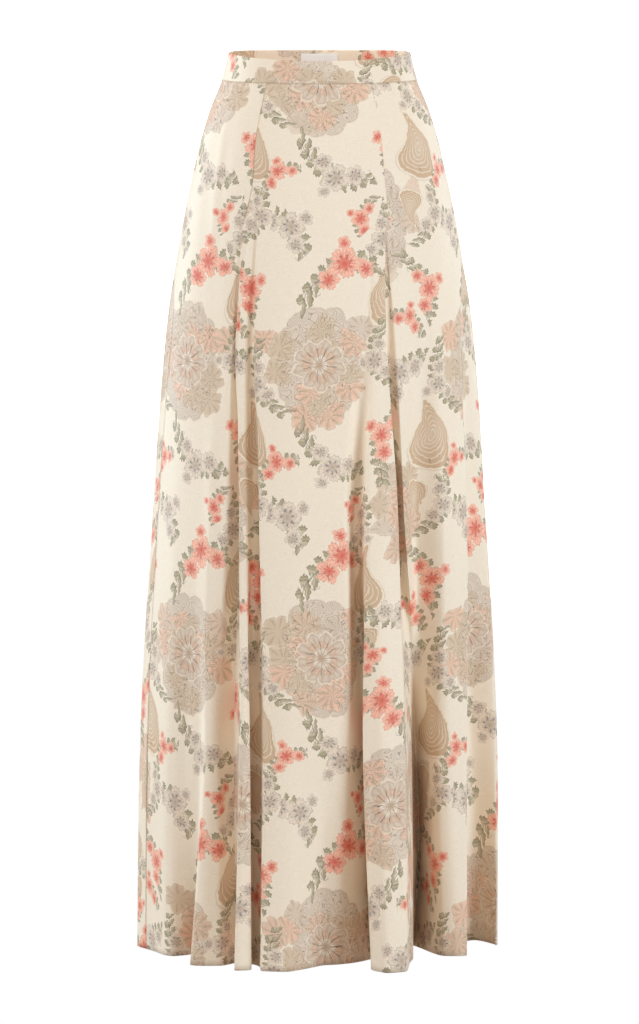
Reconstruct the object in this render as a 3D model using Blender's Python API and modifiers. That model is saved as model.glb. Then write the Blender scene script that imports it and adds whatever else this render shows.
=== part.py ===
"""Maxi skirt with a contoured waistband, two inverted front pleats and a plain flared back.

The skirt keeps the hollow form of being worn. Units are metres, +Z is up and the wearer
faces -Y. The origin is the centre of the waist opening, half way up the waistband.

Azimuth is the direction around the body in degrees: 0 is the centre front, 90 is +X, the
wearer's left side, and 180 is the centre back. Drop is the distance below the waist seam.
Lift is how far the cloth stands out from the body's form, negative where a fold sinks in.
"""

import math
from collections import namedtuple

import bmesh
import bpy
from mathutils import Matrix, Vector

MM = 0.001

# Driving sizes
BAND_HEIGHT = 30.5 * MM
HEM_DROP = 1056 * MM
CLOTH_WALL = 1.0 * MM
BAND_WALL = 2.0 * MM
SEAM_GAP = 0.3 * MM

# Height of the three edges at the side, and how far each dips at the front and rises at the back
TOP_EDGE_HEIGHT = 16.8 * MM
TOP_EDGE_DIP = 14.0 * MM
TOP_EDGE_SAG = 1.8 * MM
WAIST_SEAM_HEIGHT = -13.8 * MM
WAIST_SEAM_DIP = 12.8 * MM
HEM_HEIGHT = -1072.8 * MM
HEM_FRONT_RISE = 9.0 * MM

# The form that the skirt is worn on: an oval at each drop, deeper at the back than at the front
Section = namedtuple("Section", "drop half_width front_depth back_depth")
BODY = (
    Section(-BAND_HEIGHT, 0.1090, 0.0890, 0.0890),
    Section(0.000, 0.1174, 0.0950, 0.0955),
    Section(0.036, 0.1319, 0.1030, 0.1060),
    Section(0.073, 0.1434, 0.1110, 0.1200),
    Section(0.109, 0.1520, 0.1170, 0.1300),
    Section(0.186, 0.1677, 0.1280, 0.1420),
    Section(0.307, 0.1862, 0.1440, 0.1560),
    Section(0.525, 0.2034, 0.1680, 0.1760),
    Section(0.799, 0.2195, 0.1900, 0.1960),
    Section(HEM_DROP, 0.2252, 0.2050, 0.2100),
)

# Levels at which every fold states its azimuth and lift. Above the first, the pleats are
# stitched shut and the folds keep their place.
STATIONS = (0.060, 0.190, 0.306, 0.516, 0.790, HEM_DROP)

# Levels of the cloth's rows of points
LEVELS = (0.000, 0.030, 0.060, 0.080, 0.104, 0.135, 0.170, 0.210, 0.255, 0.306,
          0.370, 0.440, 0.516, 0.600, 0.690, 0.790, 0.880, 0.970, HEM_DROP)

# A fold line runs from the waist to the hem. Each row gives its azimuth in degrees and its
# lift in millimetres at the six stations (stitch end, hip, thigh, knee, calf, hem), and the
# number of columns from it to the next fold line.
Fold = namedtuple("Fold", "name azimuth lift columns")

SIDE_LEFT = Fold("side_left", (-97, -90, -72, -74, -74, -81), (0, 0, 0, -1, -3, -11), 2)
SIDE_RIGHT = Fold("side_right", (103, 88, 68, 67, 70, 77.7), (0, 0, -4, -15, -33, -44), 2)

LEFT_PANEL = (
    SIDE_LEFT,
    Fold("flare_left", (-80, -72, -62, -60, -64, -70), (0, 0, 0, 0, -6, -17), 2),
    Fold("flare_left_end", (-68, -60, -54, -52, -54, -60), (0, 0, 0, -1, -8, -21), 1),
    Fold("hollow_left", (-62, -56, -50, -48, -44, -60), (0, 0, 0, -1, -12, -55), 3),
    Fold("soft_fold_left", (-56, -50, -46, -43, -38, -41), (0, 0, 0, 0, -1, 7.6), 3),
    Fold("soft_fold_face", (-46, -43, -41, -38, -35.5, -35), (0, 0, 0, 3, -5, 0), 1),
)
LEFT_PLEAT = (
    Fold("left_pleat_edge", (-33, -35.4, -36.9, -32.6, -34.4, -31.3), (0, 0.5, 0.5, 5, -14, -12), 1),
    Fold("left_pleat_turn", (-33, -36.5, -38.5, -36, -34, -31), (-2.6, -5, -10, -12, -22, -24), 2),
    Fold("left_tuck_front", (-53, -48, -46, -42, -33, -30.3), (-2.6, -9, -22, -32, -30, -32), 1),
    Fold("left_tuck_back", (-53, -47.5, -45, -40.5, -31.3, -28.6), (-5.2, -13.5, -27, -36, -27, -30), 3),
    Fold("left_bulge_start", (-42, -33.3, -31.5, -29, -24.2, -24.4), (-5.2, -8, -3.5, -7.4, 6.5, 15.3), 1),
    Fold("left_bulge_end", (-26, -29.4, -28.2, -26.8, -21.4, -20.1), (-5.2, -9, -2.2, -8.4, 2.3, 5.2), 3),
    Fold("left_inner_back", (-13, -14, -20, -30, -30, -28.9), (-5.2, -18, -36, -52, -58, -63.6), 1),
    Fold("left_inner_front", (-13, -12.5, -17, -26, -27, -26.1), (-2.6, -13, -33, -55, -62, -66.9), 2),
    Fold("left_inner_turn", (-31.6, -23.2, -21.5, -20.5, -19.2, -18.8), (-2.6, -5, -11, -16, -20, -14.5), 1),
    Fold("left_inner_edge", (-31.6, -24.1, -22, -20.1, -16.9, -17), (0, 2.9, 1.8, 1.3, 2.3, 9.9), 3),
)
CENTRE_PANEL = (
    Fold("centre_crest", (-20, -12, -10, -9.6, -8.7, -9.2), (0, 2, 3, 3.5, 5.2, 10.2), 4),
    Fold("centre_slope", (0, 0, 0, -1, 1.8, 2), (0, 1, 1, 2, -11, -33), 3),
    Fold("centre_hollow", (16, 13, 11, 8.5, 9.7, 11.6), (0, 0, 0, 0, -18, -42), 3),
)
RIGHT_PLEAT = (
    Fold("right_inner_edge", (30.3, 20, 16.5, 14, 14.2, 18), (0, -3, -4, -8, -34, -53), 1),
    Fold("right_inner_turn", (30.3, 22, 18.2, 17.6, 18.6, 25.3), (-2.6, -7, -10, -18.5, -47, -66), 2),
    Fold("right_inner_front", (12, 15, 17, 20, 20.8, 28), (-2.6, -14, -24, -32, -49, -64), 1),
    Fold("right_inner_back", (12, 15.5, 19, 21.5, 19, 22), (-5.2, -20, -30, -30, -33, -42), 3),
    Fold("right_bulge_start", (31, 23.9, 19.9, 16, 13.8, 15.7), (-5.2, -8, -2, -0.6, -5.7, -2.1), 2),
    Fold("right_bulge_crest", (33, 25.5, 22, 21, 18.6, 18.6), (-5.2, -3.5, 1.5, 2, 14, 25), 2),
    Fold("right_bulge_end", (36, 27, 24.8, 26.8, 25, 24), (-5.2, -7, 0, 1, 12, 22), 3),
    Fold("right_tuck_back", (51.5, 44, 36, 29.3, 33.7, 33), (-5.2, -14, -24, -18, -28, -27), 1),
    Fold("right_tuck_front", (51.5, 45, 38, 31.6, 40.4, 40.7), (-2.6, -8.5, -18, -22.5, -48, -51), 2),
    Fold("right_pleat_turn", (31.7, 31, 30, 31.5, 48.6, 64), (-2.6, -5, -7, -13, -67, -98), 2),
    Fold("right_pleat_edge", (31.7, 29.7, 28.4, 30.4, 55.7, 92), (0, 1.6, 1.8, -5, -77, -112), 2),
)
RIGHT_PANEL = (
    Fold("right_hollow", (42, 40, 40, 40, 51.7, 75), (0, -1, -6, -22, -58, -97.5), 3),
    Fold("right_face", (60, 55, 51, 46, 47.7, 55.4), (0, 0, -1, 0.9, -25, -42), 3),
    Fold("right_face_edge", (84, 74, 62, 60.9, 59.7, 61.4), (0, 0, -0.5, -2, -14, -22.6), 3),
    SIDE_RIGHT,
)
FRONT_FOLDS = LEFT_PANEL + LEFT_PLEAT + CENTRE_PANEL + RIGHT_PLEAT + RIGHT_PANEL

BACK_FOLDS = (
    SIDE_RIGHT,
    Fold("side_hollow", (108, 93, 74, 73, 82.3, 92), (0, 0, -5, -18, -44, -54), 1),
    Fold("side_flare", (113, 98, 80, 79, 89, 101), (0, 0, -2, -8, -32, -29), 3),
    Fold("side_crest", (118, 103, 87, 86, 88, 90.5), (0, 0, 0, -1, -3, -7), 2),
    Fold("side_back", (123, 109, 96, 95, 97, 100), (0, 0, 0, 0, 0, -3), 3),
    Fold("back_hollow_1", (131, 121, 114, 113, 114, 116), (0, 0, -2, -6, -13, -24), 4),
    Fold("back_crest_1", (142, 135, 131, 131, 132, 134), (0, 0, 1, 4, 8, 12), 4),
    Fold("back_hollow_2", (153, 151, 149, 149, 150, 151), (0, 0, -2, -6, -15, -28), 4),
    Fold("back_crest_2", (167, 168, 168, 168, 169, 170), (0, 0, 1, 5, 9, 14), 4),
    Fold("back_hollow_3", (181, 184, 185, 185, 186, 187), (0, 0, -1, -5, -12, -23), 4),
    Fold("back_crest_3", (195, 200, 203, 203, 203, 204), (0, 0, 2, 5, 10, 15), 4),
    Fold("back_hollow_4", (211, 218, 222, 222, 222, 223), (0, 0, -2, -7, -15, -30), 4),
    Fold("back_crest_4", (229, 237, 244, 244, 243, 242), (0, 0, 0, 3, 6, 9), 4),
    Fold("back_hollow_5", (246, 252, 262, 262, 262, 259), (0, 0, 0, -2, -5, -12), 3),
    Fold("side_back_left", (254, 262, 274, 274, 274, 270), (0, 0, 0, 0, 0, -1), 3),
    SIDE_LEFT._replace(azimuth=tuple(a + 360 for a in SIDE_LEFT.azimuth)),
)

# A run between two folds follows the body where its lift hardly changes, and goes straight
# where it leads into or out of a deep fold.
FOLLOWS_BODY = 6 * MM
RUNS_STRAIGHT = 20 * MM

# Waistband and label
BAND_COLUMNS = 30
BAND_ROWS = 3
ZIP_OPENING = 1.8 * MM
LABEL_WIDTH = 47 * MM
LABEL_HEIGHT = 14 * MM
LABEL_WALL = 0.6 * MM
LABEL_BELOW_TOP = 4.5 * MM
LABEL_COLUMNS = 6

# Zip in the side seam at +X
ZIP_LENGTH = 205 * MM
TAPE_WIDTH = 11 * MM
TAPE_WALL = 0.6 * MM
TAPE_SPLIT = 2.0 * MM
TAPE_BELOW_TOP = 1.5 * MM
TAPE_COLUMNS = 3
SLIDER_BELOW_TOP = 6.0 * MM
SLIDER_SIZE = (5.0 * MM, 2.0 * MM, 8.0 * MM)
SLIDER_INSIDE = 3.3 * MM
SLIDER_ROUNDING = 0.5 * MM
EAR_RADIUS = 1.7 * MM
EAR_WIDTH = 1.2 * MM
NECK_WIDTH = 1.0 * MM
EAR_HOLE_RADIUS = 0.75 * MM
EAR_STANDS_OUT = 2.8 * MM
NECK_HEIGHT = 2.4 * MM
NECK_CLEARANCE = 0.2 * MM
ROD_SIDES = 24
PULL_WALL = 0.8 * MM
PULL_RAIL = 1.0 * MM
PULL_WINDOW_WIDTH = 2.0 * MM
PULL_WINDOW_LENGTH = 2.3 * MM
PULL_LENGTH = 14.0 * MM
PULL_FOOT_RADIUS = 2.6 * MM

CREAM = (0.84, 0.79, 0.69, 1.0)
LABEL_WHITE = (0.90, 0.89, 0.86, 1.0)
TAPE_CREAM = (0.80, 0.75, 0.66, 1.0)
PULL_CREAM = (0.78, 0.73, 0.64, 1.0)


def monotone_curve(knots, values, level_start=False):
    """A smooth curve through the values that never swings past them."""
    steps = [right - left for left, right in zip(knots, knots[1:])]
    slopes = [(b - a) / step for a, b, step in zip(values, values[1:], steps)]
    tangents = [0.0] * len(knots)
    for i in range(1, len(knots) - 1):
        if slopes[i - 1] * slopes[i] > 0:
            near = 2 * steps[i] + steps[i - 1]
            far = steps[i] + 2 * steps[i - 1]
            tangents[i] = (near + far) / (near / slopes[i - 1] + far / slopes[i])
    tangents[0] = 0.0 if level_start else slopes[0]
    tangents[-1] = slopes[-1]

    def value_at(knot):
        knot = min(max(knot, knots[0]), knots[-1])
        i = 0
        while i < len(steps) - 1 and knot > knots[i + 1]:
            i += 1
        u = (knot - knots[i]) / steps[i]
        rise = values[i + 1] - values[i]
        start = tangents[i] * steps[i]
        end = tangents[i + 1] * steps[i]
        return values[i] + u * (start + u * (3 * rise - 2 * start - end + u * (start + end - 2 * rise)))

    return value_at


BODY_DROPS = [section.drop for section in BODY]
HALF_WIDTH = monotone_curve(BODY_DROPS, [section.half_width for section in BODY])
FRONT_DEPTH = monotone_curve(BODY_DROPS, [section.front_depth for section in BODY])
BACK_DEPTH = monotone_curve(BODY_DROPS, [section.back_depth for section in BODY])


def body_point(azimuth, drop, lift=0.0):
    """The point of the body's form in plan, moved out by the lift."""
    angle = math.radians(azimuth)
    depth = FRONT_DEPTH(drop) if math.cos(angle) > 0 else BACK_DEPTH(drop)
    point = Vector((HALF_WIDTH(drop) * math.sin(angle), -depth * math.cos(angle)))
    return point * (1 + lift / point.length)


def seam_height(azimuth):
    return WAIST_SEAM_HEIGHT - WAIST_SEAM_DIP * math.cos(math.radians(azimuth))


def top_height(azimuth):
    angle = math.radians(azimuth)
    return TOP_EDGE_HEIGHT - TOP_EDGE_DIP * math.cos(angle) - TOP_EDGE_SAG * math.cos(2 * angle)


def hem_height(azimuth):
    return HEM_HEIGHT + HEM_FRONT_RISE * max(0.0, math.cos(math.radians(azimuth)))


def band_point(azimuth, drop, inset=0.0):
    """A point of the waistband, between its top edge and the waist seam."""
    share = -drop / BAND_HEIGHT
    height = seam_height(azimuth) + share * (top_height(azimuth) - seam_height(azimuth))
    plan = body_point(azimuth, drop, -inset)
    return Vector((plan.x, plan.y, height))


class Cloth:
    """A cloth that runs through a list of fold lines from one side seam to the other."""

    def __init__(self, folds):
        self.folds = folds
        self.azimuths = [monotone_curve(STATIONS, fold.azimuth, level_start=True) for fold in folds]
        self.lifts = [monotone_curve(STATIONS, fold.lift, level_start=True) for fold in folds]
        self.places = [i + k / fold.columns for i, fold in enumerate(folds[:-1]) for k in range(fold.columns)]
        self.places.append(len(folds) - 1)

    def ring(self, drop):
        """The cloth's line in plan at one level, one point for each column."""
        order = list(range(len(self.folds)))
        azimuths = [azimuth(drop) for azimuth in self.azimuths]
        lifts = [lift(drop) * MM for lift in self.lifts]
        corners = [body_point(azimuth, drop, lift) for azimuth, lift in zip(azimuths, lifts)]
        azimuth_at = monotone_curve(order, azimuths)
        lift_at = monotone_curve(order, lifts)
        x_at = monotone_curve(order, [corner.x for corner in corners])
        y_at = monotone_curve(order, [corner.y for corner in corners])
        points = []
        for place in self.places:
            run = min(int(place), len(order) - 2)
            change = abs(lifts[run + 1] - lifts[run])
            straight = min(max((change - FOLLOWS_BODY) / (RUNS_STRAIGHT - FOLLOWS_BODY), 0.0), 1.0)
            curved = body_point(azimuth_at(place), drop, lift_at(place))
            points.append(curved.lerp(Vector((x_at(place), y_at(place))), straight))
        return points

    def heights(self, drop):
        """The height of each column at one level, from the waist seam down to the hem."""
        order = list(range(len(self.folds)))
        at_waist = monotone_curve(order, [azimuth(STATIONS[0]) for azimuth in self.azimuths])
        at_hem = monotone_curve(order, [azimuth(HEM_DROP) for azimuth in self.azimuths])
        share = (drop + SEAM_GAP) / (HEM_DROP + SEAM_GAP)
        return [(1 - share) * seam_height(at_waist(p)) + share * hem_height(at_hem(p)) for p in self.places]

    def rows(self):
        """All the points, a row for each level, with the side edges drawn back from the seam."""
        grid = []
        for drop in LEVELS:
            ring = self.ring(drop)
            ring[0] += (ring[1] - ring[0]).normalized() * SEAM_GAP / 2
            ring[-1] += (ring[-2] - ring[-1]).normalized() * SEAM_GAP / 2
            grid.append([Vector((p.x, p.y, z)) for p, z in zip(ring, self.heights(drop))])
        return grid


def empty_scene():
    for old in list(bpy.data.objects):
        bpy.data.objects.remove(old, do_unlink=True)


def new_collection(name):
    collection = bpy.data.collections.new(name)
    bpy.context.scene.collection.children.link(collection)
    return collection


def principled(name, colour, roughness, metallic=0.0):
    material = bpy.data.materials.new(name)
    material.use_nodes = True
    shader = material.node_tree.nodes["Principled BSDF"]
    shader.inputs["Base Color"].default_value = colour
    shader.inputs["Roughness"].default_value = roughness
    shader.inputs["Metallic"].default_value = metallic
    return material


def add_object(name, data, collection, material):
    made = bpy.data.objects.new(name, data)
    made.data.materials.append(material)
    collection.objects.link(made)
    return made


def add_sheet(name, grid, wall, collection, material):
    """A cloth wall: the grid of points is its middle, and its thickness lies half on each side."""
    columns = len(grid[0])
    points = [point for row in grid for point in row]
    faces = []
    for row in range(len(grid) - 1):
        for column in range(columns - 1):
            corner = row * columns + column
            faces.append((corner, corner + columns, corner + columns + 1, corner + 1))
    mesh = bpy.data.meshes.new(name)
    mesh.from_pydata(points, [], faces)
    mesh.shade_smooth()
    sheet = add_object(name, mesh, collection, material)
    solidify = sheet.modifiers.new("Wall", "SOLIDIFY")
    solidify.thickness = wall
    solidify.offset = 0.0
    return sheet


def spread(start, end, count):
    return [start + (end - start) * i / count for i in range(count + 1)]


def arc_degrees(azimuth, drop, length):
    """The change of azimuth that moves a point of the body's form by a length around it."""
    step = (body_point(azimuth + 0.5, drop) - body_point(azimuth - 0.5, drop)).length
    return length / step


def band_grid(start, end):
    """Half of the waistband, from one side seam's azimuth to the other's."""
    drops = spread(-BAND_HEIGHT, -SEAM_GAP / 2, BAND_ROWS)
    return [[band_point(azimuth, drop) for azimuth in spread(start, end, BAND_COLUMNS)] for drop in drops]


def waistband_grids():
    left = SIDE_LEFT.azimuth[0]
    right = SIDE_RIGHT.azimuth[0]
    left_gap = arc_degrees(left, 0, SEAM_GAP / 2)
    right_gap = arc_degrees(right, 0, ZIP_OPENING / 2)
    front = band_grid(left + left_gap, right - right_gap)
    back = band_grid(right + right_gap, left + 360 - left_gap)
    return front, back


def make_label(collection, material):
    """The woven label, flat against the inner face of the waistband at the centre back."""
    inset = BAND_WALL / 2 + SEAM_GAP + LABEL_WALL / 2
    top = -BAND_HEIGHT + LABEL_BELOW_TOP
    half = arc_degrees(180, top, LABEL_WIDTH / 2)
    azimuths = spread(180 - half, 180 + half, LABEL_COLUMNS)
    drops = spread(top, top + LABEL_HEIGHT, 2)
    grid = [[band_point(azimuth, drop, inset) for azimuth in azimuths] for drop in drops]
    add_sheet("label", grid, LABEL_WALL, collection, material)


def point_along(line, distance, inset):
    """The point a distance along a line of points, moved sideways towards the wearer."""
    for start, end in zip(line, line[1:]):
        run = (end - start).length
        if distance <= run:
            break
        distance -= run
    direction = (end - start).normalized()
    inward = direction.cross(Vector((0, 0, 1))).normalized()
    if inward.x * start.x + inward.y * start.y > 0:
        inward = -inward
    return start + direction * distance + inward * inset


def make_tape(name, band, cloth, collection, material):
    """One tape of the zip, behind the waistband and the cloth; their rows start at the zip."""
    band_inset = BAND_WALL / 2 + SEAM_GAP + TAPE_WALL / 2
    cloth_inset = CLOTH_WALL / 2 + SEAM_GAP + TAPE_WALL / 2
    share = TAPE_BELOW_TOP * BAND_ROWS / BAND_HEIGHT
    top_line = [start.lerp(end, share) for start, end in zip(band[0], band[1])]
    lines = [(top_line, band_inset)]
    lines += [(row, band_inset) for row in band[1:-1]]
    lines += [(cloth[0], band_inset)]
    lines += [(row, cloth_inset) for row, drop in zip(cloth, LEVELS) if 0 < drop <= ZIP_LENGTH - BAND_HEIGHT]
    distances = spread(TAPE_SPLIT / 2, TAPE_SPLIT / 2 + TAPE_WIDTH, TAPE_COLUMNS)
    grid = [[point_along(line, distance, inset) for distance in distances] for line, inset in lines]
    if grid[0][0].y > grid[0][-1].y:
        grid = [row[::-1] for row in grid]
    add_sheet(name, grid, TAPE_WALL, collection, material)


def pull_frame():
    """Place and axes of the pull's hinge: X around the waist, Y out of the band, Z up along it."""
    azimuth = SIDE_RIGHT.azimuth[0]
    drop = -BAND_HEIGHT + SLIDER_BELOW_TOP
    around = (band_point(azimuth - 1, drop) - band_point(azimuth + 1, drop)).normalized()
    slope = band_point(azimuth, drop - SLIDER_BELOW_TOP) - band_point(azimuth, drop + SLIDER_BELOW_TOP)
    out = slope.cross(around).normalized()
    up = around.cross(out)
    axes = Matrix((around, out, up)).transposed().to_4x4()
    return Matrix.Translation(band_point(azimuth, drop) + out * EAR_STANDS_OUT) @ axes


def box_mesh(name, size, middle):
    mesh = bpy.data.meshes.new(name)
    shape = bmesh.new()
    place = Matrix.Translation(middle) @ Matrix.Diagonal((*size, 1.0))
    bmesh.ops.create_cube(shape, size=1.0, matrix=place)
    shape.to_mesh(mesh)
    shape.free()
    return mesh


def rod_mesh(name, radius, length):
    """A round rod along X, centred on the origin."""
    mesh = bpy.data.meshes.new(name)
    shape = bmesh.new()
    bmesh.ops.create_cone(shape, cap_ends=True, segments=ROD_SIDES, radius1=radius, radius2=radius,
                          depth=length, matrix=Matrix.Rotation(math.pi / 2, 4, "Y"))
    shape.to_mesh(mesh)
    shape.free()
    return mesh


def make_slider(frame, collection, cutters, material):
    """The slider: a body inside the band, and an ear that stands out through the seam."""
    body = box_mesh("zip_slider", SLIDER_SIZE, (0, -EAR_STANDS_OUT - SLIDER_INSIDE, 0))
    slider = add_object("zip_slider", body, collection, material)
    slider.matrix_world = frame
    bevel = slider.modifiers.new("Rounded", "BEVEL")
    bevel.width = SLIDER_ROUNDING
    bevel.segments = 2
    neck_depth = EAR_STANDS_OUT + SLIDER_INSIDE
    neck_place = (0, -neck_depth / 2 - EAR_HOLE_RADIUS - NECK_CLEARANCE, 0)
    neck = box_mesh("slider_neck", (NECK_WIDTH, neck_depth, NECK_HEIGHT), neck_place)
    ear = rod_mesh("slider_ear", EAR_RADIUS, EAR_WIDTH)
    hole = rod_mesh("slider_hole", EAR_HOLE_RADIUS, 3 * EAR_WIDTH)
    for mesh, operation in ((neck, "UNION"), (ear, "UNION"), (hole, "DIFFERENCE")):
        cutter = add_object(mesh.name, mesh, cutters, material)
        cutter.matrix_world = frame
        cutter.hide_render = True
        cutter.display_type = "WIRE"
        joined = slider.modifiers.new(mesh.name, "BOOLEAN")
        joined.operation = operation
        joined.object = cutter


def add_outline(curve, points):
    spline = curve.splines.new("POLY")
    spline.points.add(len(points) - 1)
    for point, (x, y) in zip(spline.points, points):
        point.co = (x, y, 0, 1)
    spline.use_cyclic_u = True


def make_pull(frame, collection, material):
    """The pull tab: a drop-shaped plate with a window whose top bar turns in the slider's ear."""
    half_top = PULL_WINDOW_WIDTH / 2 + PULL_RAIL
    half_bar = PULL_WALL / 2
    foot = -(PULL_LENGTH - half_bar - PULL_FOOT_RADIUS)
    outer = [(half_top, half_bar), (-half_top, half_bar)]
    for turn in spread(math.pi, 2 * math.pi, ROD_SIDES // 2):
        outer.append((PULL_FOOT_RADIUS * math.cos(turn), foot + PULL_FOOT_RADIUS * math.sin(turn)))
    half_window = PULL_WINDOW_WIDTH / 2
    window_foot = -half_bar - PULL_WINDOW_LENGTH
    window = [(half_window, -half_bar), (half_window, window_foot)]
    window += [(-x, y) for x, y in reversed(window)]
    curve = bpy.data.curves.new("zip_pull", "CURVE")
    curve.dimensions = "2D"
    curve.fill_mode = "BOTH"
    curve.extrude = PULL_WALL / 2
    add_outline(curve, outer)
    add_outline(curve, window)
    pull = add_object("zip_pull", curve, collection, material)
    pull.matrix_world = frame @ Matrix.Rotation(math.pi / 2, 4, "X")


def main():
    empty_scene()
    skirt = new_collection("maxi_skirt")
    cutters = new_collection("cutters")
    cloth = principled("printed_cloth", CREAM, 0.6)
    band = principled("waistband_cloth", CREAM, 0.6)
    white = principled("label_cloth", LABEL_WHITE, 0.7)
    tape = principled("zip_tape", TAPE_CREAM, 0.7)
    metal = principled("zip_metal", PULL_CREAM, 0.35)
    front = Cloth(FRONT_FOLDS).rows()
    back = Cloth(BACK_FOLDS).rows()
    band_front, band_back = waistband_grids()
    add_sheet("skirt_front", front, CLOTH_WALL, skirt, cloth)
    add_sheet("skirt_back", back, CLOTH_WALL, skirt, cloth)
    add_sheet("waistband_front", band_front, BAND_WALL, skirt, band)
    add_sheet("waistband_back", band_back, BAND_WALL, skirt, band)
    make_label(skirt, white)
    from_zip_band = [row[::-1] for row in band_front]
    from_zip_cloth = [row[::-1] for row in front]
    make_tape("zip_tape_front", from_zip_band, from_zip_cloth, skirt, tape)
    make_tape("zip_tape_back", band_back, back, skirt, tape)
    frame = pull_frame()
    make_slider(frame, skirt, cutters, metal)
    make_pull(frame, skirt, metal)


main()
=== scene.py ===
"""Looks of the maxi skirt: printed cloth, waistband, label and zip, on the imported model."""
import math
from collections import namedtuple

import bpy
import numpy as np
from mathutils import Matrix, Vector, noise


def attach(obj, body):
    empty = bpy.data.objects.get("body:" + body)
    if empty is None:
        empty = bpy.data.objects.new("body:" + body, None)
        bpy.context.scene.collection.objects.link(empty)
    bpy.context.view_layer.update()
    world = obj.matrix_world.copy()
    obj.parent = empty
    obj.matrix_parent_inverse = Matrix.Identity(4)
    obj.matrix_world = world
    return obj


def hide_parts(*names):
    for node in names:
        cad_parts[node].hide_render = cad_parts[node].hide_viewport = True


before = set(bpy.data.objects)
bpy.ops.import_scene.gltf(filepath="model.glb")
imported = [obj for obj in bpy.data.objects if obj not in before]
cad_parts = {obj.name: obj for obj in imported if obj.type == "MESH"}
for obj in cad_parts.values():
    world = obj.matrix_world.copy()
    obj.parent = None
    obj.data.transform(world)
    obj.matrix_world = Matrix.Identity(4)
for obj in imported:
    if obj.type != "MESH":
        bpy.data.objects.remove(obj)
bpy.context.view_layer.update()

MM = 0.001
BAND_HEIGHT = 30.5 * MM
BAND_WALL = 1.8 * MM
BAND_CORNER = 0.45 * MM
ABOVE_SEAM = 0.15 * MM
HEM_DROP = 1056 * MM
UPPER_PART = 70 * MM
CLOTH_WALL = 0.5 * MM
TUCKED_IN = 0.8 * MM
LABEL_WIDTH = 47 * MM
LABEL_HEIGHT = 14 * MM
LABEL_FACE = 0.98 * MM  # across the flat label, where a face is 1 mm high
LABEL_BELOW_TOP = 4.5 * MM
STITCH = 1.3 * MM
STITCH_PITCH = 2.1 * MM
STITCH_RADIUS = 0.16 * MM
ZIP_BELOW_SEAM = 174 * MM
TAPE_WALL = 0.5 * MM
TAPE_WIDTH = 11 * MM
TAPE_FROM_EDGE = 1 * MM
COIL_PITCH = 1.0 * MM
COIL_WIRE = 0.26 * MM
CENTRE_BACK = 180.0
ZIP_SPLIT = 0.4  # degrees from the side seam to each half of the waistband at the zip
SEAM_SPLIT = 0.07  # degrees, the same at the other side

# The form that the skirt is worn on, the same as the solids'
Section = namedtuple("Section", "drop half_width front_depth back_depth")
BODY = (
    Section(-BAND_HEIGHT, 0.1090, 0.0890, 0.0890),
    Section(0.000, 0.1174, 0.0950, 0.0955),
    Section(0.036, 0.1319, 0.1030, 0.1060),
    Section(0.073, 0.1434, 0.1110, 0.1200),
    Section(0.109, 0.1520, 0.1170, 0.1300),
    Section(0.186, 0.1677, 0.1280, 0.1420),
    Section(0.307, 0.1862, 0.1440, 0.1560),
    Section(0.525, 0.2034, 0.1680, 0.1760),
    Section(0.799, 0.2195, 0.1900, 0.1960),
    Section(HEM_DROP, 0.2252, 0.2050, 0.2100),
)
STATIONS = (0.060, 0.125, 0.190, 0.306, 0.516, 0.790, HEM_DROP)
TOP, KNEE = STATIONS[0], STATIONS[4]

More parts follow.
